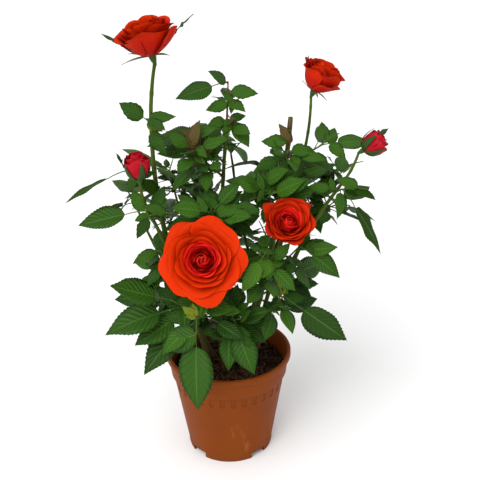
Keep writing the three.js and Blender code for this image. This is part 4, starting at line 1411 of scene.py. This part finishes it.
def soil_level(radius):
    return mix(SOIL_TOP, SOIL_EDGE, max(radius - SOIL_CROWN, 0) / SOIL_SLOPE)


def soil_height(x, y):
    """Lumps on the soil's level."""
    return 2.4 * noise.noise(Vector((x, y, 3)) * 0.09) + 1.2 * noise.noise(Vector((x, y, 9)) * 0.3)


def make_soil():
    gap = CLEAR + 0.2
    edge = INNER_RADIUS - gap
    top = [(r, mix(SOIL_TOP, SOIL_EDGE, max(r - SOIL_CROWN, 0) / (edge - SOIL_CROWN)))
           for r in range(0, 58, 2)]
    under = FOOT_LIFT + 2 + CLEAR
    profile = [(0, under), (POT_BASE - POT_WALL + 0.4 - gap, under),
               (STEP_RADIUS - POT_WALL - gap, STEP_HEIGHT - 0.5), (edge - 0.1, INNER_LEVEL),
               (edge, SOIL_EDGE)]
    mesh = spun(profile + top[::-1], SOIL_STEPS)
    for v in mesh.verts:
        if v.co.z > SOIL_EDGE and math.hypot(v.co.x, v.co.y) < SOIL_LOOSE:
            v.co.z += soil_height(v.co.x, v.co.y) - 0.4
    finished(mesh, "soil_bed", "soil", "soil", ["soil"])


BITS = 1100
BIT_KINDS = [  # finish, lengths and radii
    ("bark_bit", (6, 14), (0.9, 1.8)), ("peat_fibre", (8, 24), (0.4, 0.8)),
    ("bark_bit", (8, 22), (0.5, 0.9)), ("straw_bit", (4, 14), (0.3, 0.5)),
]


def make_mulch():
    """Bits of bark, peat and straw that lie on the soil."""
    heap = Heap("bark_and_fibres", "soil", ["bark_bit", "peat_fibre", "straw_bit"], [])
    draw = np.random.default_rng(8)
    for i in range(BITS):
        finish, lengths, radii = BIT_KINDS[i % len(BIT_KINDS) if i % 5 else 1]
        radius, turn = (SOIL_LOOSE - 1) * math.sqrt(draw.uniform()), draw.uniform(0, math.tau)
        x, y = radius * math.cos(turn), radius * math.sin(turn)
        root = np.array([x, y, soil_level(radius) + soil_height(x, y) + draw.uniform(-0.6, 0.8)])
        toward = headed(draw.uniform(0, 360), draw.uniform(-8, 16))
        length = draw.uniform(*lengths)
        end = root + toward * length
        far = math.hypot(end[0], end[1])
        if far > SOIL_LOOSE:
            end[:2] *= SOIL_LOOSE / far
        bend = (root + end) / 2 + np.array([*draw.uniform(-2, 2, 2), draw.uniform(0, 2.0)])
        thick = draw.uniform(*radii)
        bit = rod_points(ROD_BIT, Curve(root, bend, end), tapering(thick, thick * 0.6))
        heap.add(ROD_BIT, bit, finish)
    heap.build()


make_pot()
make_soil()
make_mulch()
make_limbs()
grow_main_leaves()
grow_added_leaves()
grow_young_leaves()
grow_finer_twigs()
make_blooms()
for heap in [twig_heap, lower_petals, upper_petals, calyx_heap, *leaf_heaps.values()]:
    heap.build()


# ------------------------------------------------------------------ floor, light and camera
FLOOR_PROFILE = ((0, 0), (8, 0), (14, 0.3), (20, 1.2), (26, 3.0), (30, 6.0))  # in metres
VIEW = {"rise": 25, "roll": -1, "aim": (0.014, 0, 0.2375), "distance": 0.9, "lens": 68.25}


def make_floor():
    """Flat round the plant, and rising far away, so that it fills the view to its top."""
    mesh = spun(FLOOR_PROFILE, 72)
    data = bpy.data.meshes.new("floor")
    mesh.to_mesh(data)
    mesh.free()
    data.materials.append(plain("pale_floor", rgb(0.9, 0.9, 0.9), 0.9))
    floor = bpy.data.objects.new("floor", data)
    bpy.context.scene.collection.objects.link(floor)


def make_sun(place, strength, spread):
    """A wide soft sun that shines from the side of place."""
    data = bpy.data.lights.new("sun", "SUN")
    data.energy = strength
    data.angle = math.radians(spread)
    sun = bpy.data.objects.new("sun", data)
    sun.rotation_euler = Vector(place).to_track_quat("Z", "Y").to_euler()
    bpy.context.scene.collection.objects.link(sun)


def make_key_light(place, size, power):
    data = bpy.data.lights.new("key", "AREA")
    data.size = size
    data.energy = power
    lamp = bpy.data.objects.new("key", data)
    lamp.location = place
    aim = Vector((0, 0, 0.22)) - Vector(place)
    lamp.rotation_euler = aim.to_track_quat("-Z", "Y").to_euler()
    bpy.context.scene.collection.objects.link(lamp)


def make_world(strength):
    world = bpy.data.worlds.new("studio")
    world.use_nodes = True
    background = world.node_tree.nodes["Background"]
    background.inputs[0].default_value = rgb(1, 1, 1)
    background.inputs[1].default_value = strength
    bpy.context.scene.world = world


def make_camera():
    data = bpy.data.cameras.new("camera")
    data.lens = VIEW["lens"]
    data.sensor_width = 36
    data.clip_end = 100
    camera = bpy.data.objects.new("camera", data)
    rise = math.radians(VIEW["rise"])
    back = Vector((0, -math.cos(rise), math.sin(rise)))
    turn = back.to_track_quat("Z", "Y") @ Quaternion((0, 0, 1), math.radians(VIEW["roll"]))
    camera.location = Vector(VIEW["aim"]) + back * VIEW["distance"]
    camera.rotation_euler = turn.to_euler()
    bpy.context.scene.collection.objects.link(camera)
    bpy.context.scene.camera = camera


make_floor()
make_world(0.8)
make_sun((-0.45, -0.7, 1.0), 1.7, 50)
make_key_light((-0.5, -1.2, 1.2), 0.8, 6)
make_camera()
bpy.context.scene.view_settings.view_transform = "Standard"
